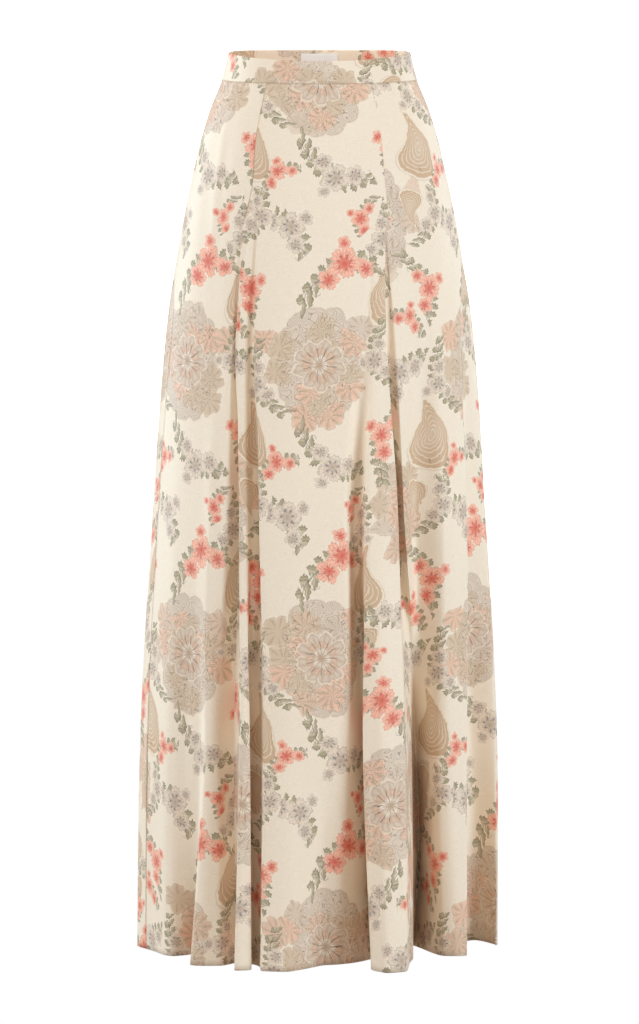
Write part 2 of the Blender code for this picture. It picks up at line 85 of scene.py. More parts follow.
# A fold line's azimuth in degrees and lift in millimetres at each station. The visible lines
# follow the solids'. The layers inside the pleats are simpler here, and the back's are deeper.
Fold = namedtuple("Fold", "name azimuth lift")
SIDE_LEFT = Fold("side_left", (-97, -94.8, -90, -72, -74, -74, -81), (0, 0, 0, 0, -1, -3, -11))
SIDE_RIGHT = Fold("side_right", (103, 97.8, 88, 68, 67, 70, 77.7), (0, 0, 0, -4, -15, -33, -44))
SIDE_LEFT_AGAIN = SIDE_LEFT._replace(azimuth=tuple(a + 360 for a in SIDE_LEFT.azimuth))
FRONT_FOLDS = (
    SIDE_LEFT,
    Fold("flare_left", (-80, -77.2, -72, -62, -60, -64, -70), (0, 0, 0, 0, 0, -6, -17)),
    Fold("flare_left_end", (-68, -64.9, -60, -54, -52, -54, -60), (0, 0, 0, 0, -1, -8, -21)),
    Fold("hollow_left", (-62, -59.8, -56, -50, -48, -44, -60), (0, 0, 0, 0, -1, -12, -55)),
    Fold("soft_fold_left", (-56, -53.6, -50, -46, -43, -38, -41), (0, 0, 0, 0, 0, -1, 7.6)),
    Fold("soft_fold_face", (-46, -44.8, -43, -41, -38, -35.5, -35), (0, 0, 0, 0, 3, -5, 0)),
    Fold("left_pleat_edge", (-32.3, -30.9, -35.3, -33.9, -33.5, -34.4, -31.3), (0, 0, 0, 0.5, 2, -14, -12)),
    Fold("left_pleat_turn", (-32.5, -31.1, -34.2, -33.3, -32.6, -34, -31),
         (-0.9, -0.9, -1.5, -4, -6, -22, -24)),
    Fold("left_tuck_front", (-53, -40, -33.2, -32.9, -31.6, -33, -30.3),
         (-0.9, -1, -2.2, -7, -20, -30, -32)),
    Fold("left_tuck_back", (-53, -40, -32, -32.4, -30.4, -31.3, -28.6), (-1.8, -2, -2, -1, -20, -27, -30)),
    Fold("left_slip", (-45, -35, -31, -31, -28.9, -28, -26.5), (-1.8, -2, -2.2, -3, -10, -14, -10)),
    Fold("left_bulge_start", (-33, -31.2, -30.6, -30.5, -28.1, -24.2, -24.4),
         (-1.3, -1.4, 0, 1, -1, 6.5, 15.3)),
    Fold("left_bulge_end", (-31, -29.6, -27.6, -27.9, -25.6, -21.4, -20.1),
         (-0.3, -0.3, 0, 1, -1, 2.3, 5.2)),
    Fold("left_inner_back", (-30, -28.8, -26.9, -27.2, -25.3, -27, -26), (0, 0, -1.2, -6, -18, -21, -24)),
    Fold("left_inner_front", (-29.3, -28.2, -26.2, -26.1, -23.5, -25, -24),
         (0, -0.3, -1.6, -7, -21, -24, -27)),
    Fold("left_inner_turn", (-28.6, -27.8, -25.7, -24.7, -21.2, -19.2, -18.8),
         (0, -0.3, -1, -2, -11, -12, -9)),
    Fold("left_inner_edge", (-28, -27.4, -25.2, -22.6, -20.4, -16.9, -17),
         (0, 0.4, 1.4, 1.8, 1.3, 2.3, 9.9)),
    Fold("centre_crest", (-20, -16.4, -12, -10, -9.6, -8.7, -9.2), (0, 0.8, 2, 3, 3.5, 5.2, 10.2)),
    Fold("centre_slope", (0, 0, 0, 0, -1, 1.8, 2), (0, 0.5, 1, 1, 2, -11, -33)),
    Fold("centre_hollow", (16, 14.8, 13, 11, 8.5, 9.7, 11.6), (0, 0, 0, 0, 0, -18, -42)),
    Fold("right_inner_edge", (21, 20.5, 20, 14.5, 10.5, 14.2, 18), (0, 0, 0, -2.5, -12, -34, -53)),
    Fold("right_inner_turn", (22, 21.5, 21.1, 16.5, 12.3, 18.6, 25.3), (0, 0, -1, -4.5, -20, -47, -66)),
    Fold("right_inner_front", (23, 22.2, 21.6, 18, 13.8, 20.8, 28), (0, 0, -1.2, -4.8, -22, -49, -64)),
    Fold("right_inner_back", (24, 23, 22.1, 19.2, 15.2, 19, 22), (0, 0, -1, -3, -16, -33, -42)),
    Fold("right_bulge_start", (25.5, 24.2, 22.9, 20.2, 16.1, 13.8, 15.7), (0, 0.2, -0.1, 0, 0, -5.7, -2.1)),
    Fold("right_bulge_crest", (28, 26.5, 25, 22.8, 21, 18.6, 18.6), (0, 0.3, 0.8, 1.8, 4, 14, 25)),
    Fold("right_bulge_end", (30.5, 28.9, 27.1, 24.9, 27, 25, 24), (-0.2, -0.1, 0.8, 1.2, 1, 12, 22)),
    Fold("right_tuck_back", (51.5, 42, 27.5, 25.6, 29.3, 33.7, 33), (-1.8, -2, -1.8, -6, -22, -28, -27)),
    Fold("right_tuck_front", (51.5, 42, 27.9, 27.4, 31.6, 40.4, 40.7),
         (-0.9, -1.1, -1.6, -7, -26, -48, -51)),
    Fold("right_pleat_turn", (31.1, 29.6, 28.1, 28.1, 32.2, 48.6, 64),
         (-0.9, -0.9, -0.9, -5, -16, -67, -98)),
    Fold("right_pleat_edge", (30.9, 29.4, 27.9, 28.6, 30.4, 55.7, 92), (0, 0, 0.1, 1, -5, -77, -112)),
    Fold("right_hollow", (42, 41, 40, 40, 40, 51.7, 75), (0, -0.3, -1, -6, -22, -58, -97.5)),
    Fold("right_face", (60, 58.1, 55, 51, 46, 47.7, 55.4), (0, 0, 0, -1, 0.9, -25, -42)),
    Fold("right_face_edge", (84, 80.4, 74, 62, 60.9, 59.7, 61.4), (0, 0, 0, -0.5, -2, -14, -22.6)),
    SIDE_RIGHT,
)
BACK_FOLDS = (
    SIDE_RIGHT,
    Fold("side_hollow", (108, 102.7, 93, 74, 73, 82.3, 92), (0, 0, 0, -5, -18, -44, -54)),
    Fold("side_flare", (113, 107.7, 98, 80, 79, 89, 101), (0, 0, 0, -2, -8, -32, -29)),
    Fold("side_crest", (118, 112.5, 103, 87, 86, 88, 90.5), (0, 0, 0, 0, -1, -3, -7)),
    Fold("side_back", (123, 117.8, 109, 96, 95, 97, 100), (0, 0, 0, 0, 0, 0, -3)),
    Fold("back_hollow_1", (131, 127.1, 121, 114, 113, 114, 116), (0, 0, -0.5, -5, -13, -22, -31)),
    Fold("back_crest_1", (142, 139.2, 135, 131, 131, 132, 134), (0, 0, 0, 1, 5, 9, 12)),
    Fold("back_hollow_2", (153, 152.3, 151, 149, 149, 150, 151), (0, -0.5, -2, -7, -16, -25, -36)),
    Fold("back_crest_2", (167, 167.5, 168, 168, 168, 169, 170), (0, 0, 0, 1, 6, 10, 14)),
    Fold("back_hollow_3", (181, 182.3, 184, 185, 185, 186, 187), (0, 0, 0, -3, -10, -20, -30)),
    Fold("back_crest_3", (195, 197, 200, 203, 203, 203, 204), (0, 0, 0, 2, 6, 11, 15)),
    Fold("back_hollow_4", (211, 213.8, 218, 222, 222, 222, 223), (0, -0.4, -1.5, -7, -16, -25, -38)),
    Fold("back_crest_4", (229, 232, 237, 244, 244, 243, 242), (0, 0, 0, 0, 4, 8, 10)),
    Fold("back_hollow_5", (246, 248, 252, 262, 262, 262, 259), (0, 0, 0, -2, -8, -14, -19)),
    Fold("side_back_left", (254, 256.7, 262, 274, 274, 274, 270), (0, 0, 0, 0, 0, 0, -1)),
    SIDE_LEFT_AGAIN,
)

# Parts of a panel on which the print starts afresh: the first and last fold, the fold that its
# width is measured from, and that fold's place in the print. The front's three parts meet deep
# in the pleats, where the joins don't show.
Zone = namedtuple("Zone", "first last middle shift")
FRONT_ZONES = (
    Zone("side_left", "left_tuck_front", "soft_fold_left", -0.300),
    Zone("left_tuck_front", "right_tuck_back", "centre_slope", 0.0),
    Zone("right_tuck_back", "side_right", "right_face", 0.260),
)
BACK_ZONES = (Zone("side_right", "side_left", "back_crest_2", 0.0),)

# Soft creases laid on the cloth. A crease lies between its fold and the next one: top
# and foot are the share of the way over, at its start and its end. The drops at both, and its
# width and depth, are in millimetres. The depth is negative where the cloth sinks in.
Crease = namedtuple("Crease", "fold top foot start end width depth")
PAST_HEM = 1300
FRONT_CREASES = (
    Crease("side_left", 0.55, 0.45, 330, PAST_HEM, 15, -1.6),
    Crease("flare_left", 0.6, 0.3, 560, PAST_HEM, 11, 1.8),
    Crease("flare_left_end", 0.5, 0.2, 640, 980, 9, -1.9),
    Crease("hollow_left", 0.4, 0.3, 30, 300, 13, -0.9),
    Crease("soft_fold_left", 0.35, 0.1, 15, 240, 7, 0.8),
    Crease("soft_fold_left", 0.7, 0.5, 20, 320, 9, -1.0),
    Crease("soft_fold_left", 0.6, 0.3, 520, 830, 7, 1.6),
    Crease("soft_fold_face", 0.45, 0.3, 380, 760, 6, -1.5),
    Crease("soft_fold_face", 0.6, 0.5, 700, PAST_HEM, 5, 1.2),
    Crease("left_bulge_start", 0.5, 0.6, 560, 900, 4, -1.0),
    Crease("centre_crest", 0.35, 0.2, 620, PAST_HEM, 16, -1.7),
    Crease("centre_crest", 0.8, 0.6, 120, 520, 20, -0.8),
    Crease("centre_slope", 0.3, 0.45, 540, PAST_HEM, 11, 1.9),
    Crease("centre_slope", 0.75, 0.6, 300, 900, 15, -1.3),
    Crease("right_bulge_start", 0.6, 0.5, 640, PAST_HEM, 5, -1.3),
    Crease("right_bulge_crest", 0.5, 0.6, 330, 800, 6, -1.2),
    Crease("right_pleat_edge", 0.6, 0.5, 250, 620, 7, 1.3),
    Crease("right_hollow", 0.4, 0.5, 180, 560, 10, -1.6),
    Crease("right_face", 0.3, 0.4, 420, PAST_HEM, 9, 2.2),
    Crease("right_face", 0.7, 0.6, 60, 420, 14, -1.0),
    Crease("right_face_edge", 0.4, 0.5, 560, PAST_HEM, 8, -1.8),
)
BACK_CREASES = (
    Crease("side_crest", 0.5, 0.4, 380, PAST_HEM, 8, -4.2),
    Crease("side_back", 0.5, 0.4, 90, 520, 12, -2.3),
    Crease("back_hollow_1", 0.45, 0.6, 300, PAST_HEM, 14, 8),
    Crease("back_crest_1", 0.4, 0.2, 520, PAST_HEM, 10, -6.5),
    Crease("back_crest_1", 0.7, 0.9, 120, 480, 10, 2.3),
    Crease("back_hollow_2", 0.45, 0.5, 240, PAST_HEM, 16, -8.7),
    Crease("back_hollow_2", 0.9, 0.8, 610, PAST_HEM, 7, 4.9),
    Crease("back_crest_2", 0.5, 0.35, 400, PAST_HEM, 13, 6.8),
    Crease("back_hollow_3", 0.1, 0.15, 60, 360, 11, -2.1),
    Crease("back_hollow_3", 0.45, 0.6, 480, PAST_HEM, 10, -7.4),
    Crease("back_hollow_3", 0.9, 0.85, 290, 880, 8, 4.2),
    Crease("back_crest_3", 0.5, 0.4, 350, PAST_HEM, 17, 9.1),
    Crease("back_hollow_4", 0.3, 0.2, 580, PAST_HEM, 9, -5.9),
    Crease("back_hollow_4", 0.6, 0.75, 150, 620, 10, -2.8),
    Crease("back_crest_4", 0.5, 0.4, 330, PAST_HEM, 14, 6.5),
    Crease("back_hollow_5", 0.4, 0.5, 500, PAST_HEM, 10, -4.6),
)

# The rows that turn the hem up inside, in millimetres: how far below the hem line, how far
# inside the cloth, and how far along it past the hem line
Turn = namedtuple("Turn", "below inside along")
HEM_TURN = (Turn(0.5, 0.9, 1), Turn(0.0, 1.3, 2), Turn(-2.0, 1.3, 4), Turn(-9.0, 1.1, 11))


def monotone(knots, values, at, level_start=False):
    """A smooth curve through the values that never swings past them, at many places."""
    knots = np.asarray(knots, float)
    values = np.asarray(values, float)
    steps = np.diff(knots)
    slopes = np.diff(values) / steps
    tangents = np.zeros(len(knots))
    for i in range(1, len(knots) - 1):
        if slopes[i - 1] * slopes[i] > 0:
            near = 2 * steps[i] + steps[i - 1]
            far = steps[i] + 2 * steps[i - 1]
            tangents[i] = (near + far) / (near / slopes[i - 1] + far / slopes[i])
    tangents[0] = 0.0 if level_start else slopes[0]
    tangents[-1] = slopes[-1]
    at = np.clip(at, knots[0], knots[-1])
    i = np.clip(np.searchsorted(knots, at, side="left") - 1, 0, len(steps) - 1)
    u = (at - knots[i]) / steps[i]
    rise = values[i + 1] - values[i]
    start = tangents[i] * steps[i]
    end = tangents[i + 1] * steps[i]
    return values[i] + u * (start + u * (3 * rise - 2 * start - end + u * (start + end - 2 * rise)))


def body_points(azimuth, drop, lift=0.0):
    """Points of the body's form in plan, as rows of x and y."""
    angle = np.radians(azimuth)
    drops, *measures = zip(*BODY)
    half, front, back = (monotone(drops, measure, drop) for measure in measures)
    depth = np.where(np.cos(angle) > 0, front, back)
    plan = np.stack([half * np.sin(angle), -depth * np.cos(angle)], axis=-1)
    length = np.linalg.norm(plan, axis=-1, keepdims=True)
    return plan * (1 + np.expand_dims(np.broadcast_to(lift, length.shape[:-1]), -1) / length)


def seam_height(azimuth):
    return -0.0138 - 0.0128 * np.cos(np.radians(azimuth))


def top_height(azimuth):
    angle = np.radians(azimuth)
    return 0.0168 - 0.0140 * np.cos(angle) - 0.0018 * np.cos(2 * angle)


def hem_height(azimuth):
    return -1.0728 + 0.009 * np.maximum(0.0, np.cos(np.radians(azimuth)))


def smooth_step(value):
    value = np.clip(value, 0.0, 1.0)
    return value * value * (3 - 2 * value)


def distances(points):
    """Each point's distance along its line."""
    return np.concatenate([[0.0], np.cumsum(np.linalg.norm(np.diff(points, axis=0), axis=1))])


def read_line(at, along, values):
    """Rows of values, read at other places along a line."""
    return np.stack([np.interp(at, along, column) for column in values.T], axis=-1)


def rounded(points, radius):
    """The same line with its corners rounded, and each old point's distance along it."""
    step = 0.5 * MM
    along = distances(points)
    even = np.linspace(0, along[-1], int(along[-1] / step) + 2)
    line = read_line(even, along, points)
    reach = int(3 * radius / step) + 1
    weights = np.exp(-0.5 * (np.arange(-reach, reach + 1) * step / radius) ** 2)
    weights /= weights.sum()
    before = 2 * line[0] - line[reach:0:-1]
    after = 2 * line[-1] - line[-2:-reach - 2:-1]
    padded = np.concatenate([before, line, after])
    gentle = np.stack([np.convolve(column, weights, mode="valid") for column in padded.T], axis=1)
    return even, gentle, along


class Cloth:
    """A cloth through a list of folds: a grid of points with its cut coordinates."""

    TOP_ROWS = 17  # in the upper part
    MEASURED = 12  # samples to each run between two folds, when the columns are shared out
    DRAWN = 14  # the same, when a ring of the cloth is drawn
    CORNERS = (0.8 * MM, 1.7 * MM)  # the folds' radius at the top and from the knee down
    CURVED_TO = 6 * MM  # a run whose lift changes by less follows the body's curve
    STRAIGHT_FROM = 20 * MM  # a run whose lift changes by more goes straight

    def __init__(self, folds, zones, creases, columns, rows):
        self.folds = folds
        self.names = [fold.name for fold in folds]
        self.zones = zones
        self.places = self.spread_columns(columns)
        self.drops = np.concatenate([
            np.linspace(0, UPPER_PART, self.TOP_ROWS + 1)[:-1],
            np.linspace(UPPER_PART, HEM_DROP, rows - self.TOP_ROWS),
        ])
        rings = [self.ring(drop, np.interp(drop, (TOP, KNEE), self.CORNERS)) for drop in self.drops]
        self.plan = np.array(rings)
        self.along = np.array([distances(ring) for ring in rings])
        self.height = self.heights()
        self.press(creases)

    def corners(self, drop):
        """The folds' azimuths and lifts at a drop."""
        azimuths = [monotone(STATIONS, f.azimuth, drop, True) for f in self.folds]
        lifts = [monotone(STATIONS, f.lift, drop, True) * MM for f in self.folds]
        return np.array(azimuths), np.array(lifts)

    def line(self, drop, places):
        """The cloth in plan at a drop; a place is a fold's number and the share of the way to the next."""
        azimuths, lifts = self.corners(drop)
        order = np.arange(len(azimuths))
        run = np.minimum(places.astype(int), len(order) - 2)
        change = np.abs(np.diff(lifts))[run]
        straight = np.clip((change - self.CURVED_TO) / (self.STRAIGHT_FROM - self.CURVED_TO), 0, 1)[:, None]
        curved = body_points(monotone(order, azimuths, places), drop, monotone(order, lifts, places))
        corner = body_points(azimuths, drop, lifts)
        direct = np.stack([monotone(order, column, places) for column in corner.T], axis=1)
        return curved + (direct - curved) * straight

    def spread_columns(self, columns):
        """Places of the columns, fewer in the runs that are shorter."""
        count = len(self.folds) - 1
        dense = np.linspace(0, count, count * self.MEASURED + 1)
        longest = np.zeros(count)
        for drop in np.linspace(0, HEM_DROP, 24):
            steps = np.linalg.norm(np.diff(self.line(drop, dense), axis=0), axis=1)
            longest = np.maximum(longest, steps.reshape(count, self.MEASURED).sum(axis=1))
        places = []
        for i, share in enumerate(longest / longest.sum() * columns):
            parts = max(3, int(round(share)))
            places += [i + k / parts for k in range(parts)]
        return np.array(places + [count])

    def ring(self, drop, radius):
        """The cloth's columns in plan at a drop, with the folds rounded."""
        count = len(self.folds) - 1
        dense = np.linspace(0, count, count * self.DRAWN + 1)
        even, gentle, along = rounded(self.line(drop, dense), radius)
        return read_line(np.interp(self.places, dense, along), even, gentle)

    def heights(self):
        """Each point's height, from just above the seam to the hem."""
        azimuth_top, _ = self.corners(TOP)
        azimuth_hem, _ = self.corners(HEM_DROP)
        order = np.arange(len(self.folds))
        top = seam_height(monotone(order, azimuth_top, self.places)) + TUCKED_IN
        hem = hem_height(monotone(order, azimuth_hem, self.places))
        share = (self.drops / HEM_DROP)[:, None]
        return (1 - share) * top + share * hem

    def outward(self):
        """The direction out of the cloth in plan, at each point."""
        run = np.gradient(self.plan, axis=1)
        run /= np.maximum(np.linalg.norm(run, axis=2, keepdims=True), 1e-9)
        return np.stack([run[..., 1], -run[..., 0]], axis=2)

    def press(self, creases):
        """Lay the soft creases on the folds."""
        lift = np.zeros(self.along.shape)
        for crease in creases:
            share = (self.drops / MM - crease.start) / (crease.end - crease.start)
            strength = smooth_step(share * 4) * smooth_step((1 - share) * 4)
            over = crease.top + (crease.foot - crease.top) * np.clip(share, 0, 1)
            place = self.names.index(crease.fold) + over
            centre = np.array([np.interp(p, self.places, row) for p, row in zip(place, self.along)])
            away = (self.along - centre[:, None]) / (crease.width * MM)
            lift += crease.depth * MM * strength[:, None] * np.exp(-away ** 2)
        self.plan += self.outward() * lift[..., None]

    def column_of(self, name):
        return int(np.argmin(np.abs(self.places - self.names.index(name))))

    def cut(self):
        """The place on the flat cloth of the left and the right side of each column of faces."""
        steps = np.linalg.norm(np.diff(self.plan, axis=0), axis=2)
        slopes = np.hypot(steps, np.diff(self.height, axis=0))
        down = np.concatenate([[0.0], np.cumsum(np.median(slopes, axis=1))])
        sides = np.zeros((len(self.drops), len(self.places) - 1, 2, 2))
        for zone in self.zones:
            first, middle, last = (self.column_of(name) for name in (zone.first, zone.middle, zone.last))
            lengths = self.along - self.along[:, middle:middle + 1] + zone.shift
            sides[:, first:last, 0, 0] = lengths[:, first:last]
            sides[:, first:last, 1, 0] = lengths[:, first + 1:last + 1]
        sides[..., 1] = -down[:, None, None]
        return sides


def new_mesh(name, points, faces, materials, cut=None):
    """A smooth piece; cut gives each face corner's place on the flat cloth."""
    mesh = bpy.data.meshes.new(name)
    mesh.from_pydata([tuple(p) for p in points], [], faces)
    for material in materials:
        mesh.materials.append(material)
    mesh.shade_smooth()
    if cut is not None:
        mesh.uv_layers.new(name="cut").data.foreach_set("uv", np.array(cut, float).reshape(-1))
    made = bpy.data.objects.new(name, mesh)
    bpy.context.scene.collection.objects.link(made)
    return made


def new_grid(name, points, sides, materials):
    """A sheet through rows of points; sides is the cut of each column of faces, as Cloth.cut gives it."""
    rows, columns = points.shape[:2]
    row, column = np.divmod(np.arange((rows - 1) * (columns - 1)), columns - 1)
    corner = row * columns + column
    faces = np.stack([corner, corner + columns, corner + columns + 1, corner + 1], axis=1)
    cut = np.stack([sides[:-1, :, 0], sides[1:, :, 0], sides[1:, :, 1], sides[:-1, :, 1]], axis=2)
    return new_mesh(name, points.reshape(-1, 3), faces.tolist(), materials, cut)


def both_sides(across, down):
    """The same for a plain grid, from each point's place across and down the flat cloth."""
    cut = np.stack(np.broadcast_arrays(across, down), axis=-1)
    return np.stack([cut[:, :-1], cut[:, 1:]], axis=2)


def add_wall(made, thickness, inside=0):
    """Half of the thickness to each side; inside is the number of the inner face's material."""
    wall = made.modifiers.new("Wall", "SOLIDIFY")
    wall.thickness = thickness
    wall.offset = 0.0
    wall.material_offset = inside


def circle(centre, first, second, radius, sides):
    """Points round a centre, in the plane of two directions."""
    turns = [2 * math.pi * k / sides for k in range(sides)]
    return [centre + (first * math.cos(turn) + second * math.sin(turn)) * radius for turn in turns]


def tube_faces(base, rings, sides, flipped=False):
    """The faces of a tube closed at both ends, whose rings of points follow on from number base."""
    faces = []
    for ring in range(rings - 1):
        for k in range(sides):
            a = base + ring * sides + k
            b = base + ring * sides + (k + 1) % sides
            faces.append((a, b, b + sides, a + sides))
    faces.append(tuple(base + k for k in reversed(range(sides))))
    faces.append(tuple(base + (rings - 1) * sides + k for k in range(sides)))
    return [face[:1] + face[:0:-1] for face in faces] if flipped else faces


def make_cloth(name, cloth, node, materials):
    """A panel's shell, with its hem turned up inside."""
    points = np.concatenate([cloth.plan, cloth.height[..., None]], axis=2)
    inward = -cloth.outward()[-1]
    hem = []
    for turn in HEM_TURN:
        at = np.interp(HEM_DROP + turn.below * MM, cloth.drops, np.arange(len(points)))
        row = int(min(at, len(points) - 2))
        ring = points[row] + (points[row + 1] - points[row]) * (at - row)
        ring[:, :2] += inward * turn.inside * MM
        ring[:, 2] -= max(turn.below, 0) * MM
        hem.append(ring)
    sides = cloth.cut()
    hem_sides = np.repeat(sides[-1:], len(HEM_TURN), axis=0)
    hem_sides[..., 1] -= np.array([turn.along for turn in HEM_TURN])[:, None, None] * MM
    made = new_grid(name, np.concatenate([points, hem]), np.concatenate([sides, hem_sides]), materials)
    add_wall(made, CLOTH_WALL, inside=1)
    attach(made, "skirt")
    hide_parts(node)
    return made


def band_place(azimuth, drop, outset):
    """Points of the waistband: outset is the distance out of its middle surface."""
    plan = body_points(azimuth, drop, outset)
    share = -drop / BAND_HEIGHT
    height = seam_height(azimuth) + share * (top_height(azimuth) - seam_height(azimuth))
    return np.stack([plan[..., 0], plan[..., 1], height], axis=-1)


def metres_a_degree(azimuth, drop):
    return np.linalg.norm(band_place(azimuth + 0.5, drop, 0.0) - band_place(azimuth - 0.5, drop, 0.0))


def band_section():
    """Drop and outset round the band: up the face, over the top and down inside."""
    half = BAND_WALL / 2
    top = half - BAND_HEIGHT
    face = np.linspace(-2 * MM, top, 9)
    crown = 0.12 * MM
    section = [(-ABOVE_SEAM, BAND_CORNER - half), (-ABOVE_SEAM, half - BAND_CORNER)]
    section += [(-ABOVE_SEAM - BAND_CORNER, half)]
    section += [(drop, half + crown * math.sin(math.pi * drop / top)) for drop in face]
    section += [(top - half * math.sin(t), half * math.cos(t)) for t in np.linspace(0, math.pi, 7)[1:]]
    section += [(drop, -half) for drop in face[-2::-1]]
    return section + [(-ABOVE_SEAM - BAND_CORNER, -half)]


def make_band(name, start, end, node, materials, shift):
    """Half of the waistband, a closed shell whose cloth folds over its top edge."""
    section = band_section()
    columns = 130
    azimuths = np.linspace(start, end, columns + 1)
    along = distances(band_place(azimuths, -BAND_HEIGHT / 2, 0.0))
    rings = []
    for drop, outset in section:
        puff = np.array([noise.noise((a * 38, drop * 60, 3.1)) for a in along])
        near_seam = math.exp(-abs(drop) / (6 * MM))
        pucker = np.array([noise.noise((a * 150, 0.0, 8.0)) for a in along]) * near_seam
        rings.append(band_place(azimuths, drop, outset + (0.35 * puff + 0.25 * pucker) * MM))
    count = len(section)
    wide = columns + 1
    around = distances(np.array(section + section[:1]))
    u = along - along[-1] / 2 + shift
    v = around + 0.03
    faces = []
    cut = []
    for r in range(count):
        after = (r + 1) % count
        for c in range(columns):
            faces.append((r * wide + c, r * wide + c + 1, after * wide + c + 1, after * wide + c))
            cut += [(u[c], v[r]), (u[c + 1], v[r]), (u[c + 1], v[r + 1]), (u[c], v[r + 1])]
    faces.append(tuple(r * wide for r in range(count)))
    faces.append(tuple(r * wide + columns for r in reversed(range(count))))
    cut += [(shift, around[r]) for r in range(count)] * 2
    made = new_mesh(name, np.array(rings).reshape(-1, 3), faces, materials, cut)
    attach(made, "skirt")
    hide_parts(node)
    return made


def make_label(material, thread):
    """The blank woven label inside the back of the waistband, stitched at both ends, which lie closer to
    the band.
    """
    top = LABEL_BELOW_TOP - BAND_HEIGHT
    bottom = top + LABEL_HEIGHT
    degree = metres_a_degree(CENTRE_BACK, top)
    columns, rows = 48, 14
    half = LABEL_WIDTH / 2 / degree
    azimuths = np.linspace(CENTRE_BACK - half, CENTRE_BACK + half, columns + 1)
    points = np.zeros((rows + 1, columns + 1, 3))
    for j, drop in enumerate(np.linspace(top, bottom, rows + 1)):
        for i, azimuth in enumerate(azimuths):
            end = min(i, columns - i) / columns
            edge = min(j, rows - j) / rows
            rise = 0.25 * smooth_step(end * 12) + 0.15 * smooth_step(edge * 6)
            rise += 0.12 * noise.noise((azimuth * 0.6, drop * 300, 0.0))
            points[j, i] = band_place(azimuth, drop, -(BAND_WALL / 2 + (0.45 + rise) * MM))
    sides = both_sides(np.arange(columns + 1) * LABEL_FACE, np.arange(rows + 1)[:, None] * MM)
    label = new_grid("woven_label", points, sides, [material])
    add_wall(label, 0.4 * MM)
    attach(label, "skirt")
    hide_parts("label")
    inset = 1.1 * MM / degree
    stitches = [[band_place(azimuth, drop + end, -(BAND_WALL / 2 + 0.95 * MM)) for end in (0, STITCH)]
                for azimuth in (azimuths[0] + inset, azimuths[-1] - inset)
                for drop in top + 1.2 * MM + STITCH_PITCH * np.arange(6)]
    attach(make_threads("label_stitches", stitches, STITCH_RADIUS, thread), "skirt")
    return label


def make_threads(name, runs, radius, material):
    """Short straight threads, each a little tube that dips at its ends."""
    sides = 6
    profile = ((0.0, 0.25), (0.15, 0.85), (0.5, 1.0), (0.85, 0.85), (1.0, 0.25))
    points = []
    faces = []
    for run in runs:
        start, end = Vector(run[0]), Vector(run[1])
        direction = (end - start).normalized()
        across = direction.cross(Vector((direction.z, direction.x, direction.y))).normalized()
        other = direction.cross(across)
        faces += tube_faces(len(points), len(profile), sides)
        for share, size in profile:
            points += circle(start.lerp(end, share), across, other, radius * size, sides)
    return new_mesh(name, points, faces, [material])


def make_tape(name, cloth, side, node, material):
    """One tape of the concealed zip, behind the band and the panel's first (0) or last (1) edge."""
    azimuth = SIDE_RIGHT.azimuth[0]
    across = np.linspace(TAPE_FROM_EDGE, TAPE_FROM_EDGE + TAPE_WIDTH, 9)
    turn = across / metres_a_degree(azimuth, 0.0) * (-1 if side else 1)
    grid = [band_place(azimuth + turn, drop, -(BAND_WALL / 2 + 0.6 * MM))
            for drop in np.linspace(1.5 * MM - BAND_HEIGHT, -0.5 * MM, 12)]
    outward = cloth.outward()
    for r, drop in enumerate(cloth.drops):
        if not 2 * MM < drop < ZIP_BELOW_SEAM:
            continue
        along = cloth.along[r]
        at = along[-1] - across if side else across
        inset = 0.8 * MM + 0.6 * MM * math.exp(-drop / (8 * MM))
        spot = read_line(at, along, cloth.plan[r]) - read_line(at, along, outward[r]) * inset
        grid.append(np.column_stack([spot, np.interp(at, along, cloth.height[r])]))
    grid = np.array(grid)
    sides = both_sides(across, grid[..., 2])
    sides[..., 1, 1] = sides[..., 0, 1]  # the ribs run along the rows of faces
    tape = new_grid(name, grid, sides, [material])
    add_wall(tape, TAPE_WALL)
    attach(tape, "skirt")
    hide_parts(node)
    return tape, grid[:, 0]


def make_coil(front_edge, back_edge, material):
    """The nylon coil that joins the two tapes, as one tube wound along the seam."""
    below_slider = 3
    route = np.array([(a + b) / 2 for a, b in zip(front_edge, back_edge)])[below_slider:]
    lengths = distances(route)
    turns = int(lengths[-1] / COIL_PITCH)
    steps, sides = 10, 5
    behind, half_width, half_depth = 0.9 * MM, 1.3 * MM, 0.55 * MM
    points = []
    for k in range(turns * steps + 1):
        at = lengths[-1] * k / (turns * steps)
        centre = Vector(read_line(at, lengths, route))
        if at < lengths[-1] - MM:
            down = (Vector(read_line(at + MM, lengths, route)) - centre).normalized()
        out = Vector((centre.x, centre.y, 0)).normalized()
        side = down.cross(out).normalized()
        turn = 2 * math.pi * k / steps
        sideways, outwards = side * math.cos(turn), out * math.sin(turn)
        spot = centre - out * behind + sideways * half_width + outwards * half_depth
        points += circle(spot, sideways + outwards, down, COIL_WIRE, sides)
    faces = tube_faces(0, turns * steps + 1, sides, flipped=True)
    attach(new_mesh("zip_coil", points, faces, [material]), "skirt")


# Shader nodes


class Value:
    """A number that varies over the cloth, worked out by shader nodes."""

    def __init__(self, tree, socket):
        self.tree = tree
        self.socket = socket

    def op(self, operation, *others):
        return math_node(self.tree, operation, self, *others)

    def __add__(self, other):
        return self.op("ADD", other)

    def __sub__(self, other):
        return self.op("SUBTRACT", other)

    def __rsub__(self, other):
        return math_node(self.tree, "SUBTRACT", other, self)

    def __mul__(self, other):
        return self.op("MULTIPLY", other)

    def __truediv__(self, other):
        return self.op("DIVIDE", other)

    def fused(self, factor, addend):
        return self.op("MULTIPLY_ADD", factor, addend)


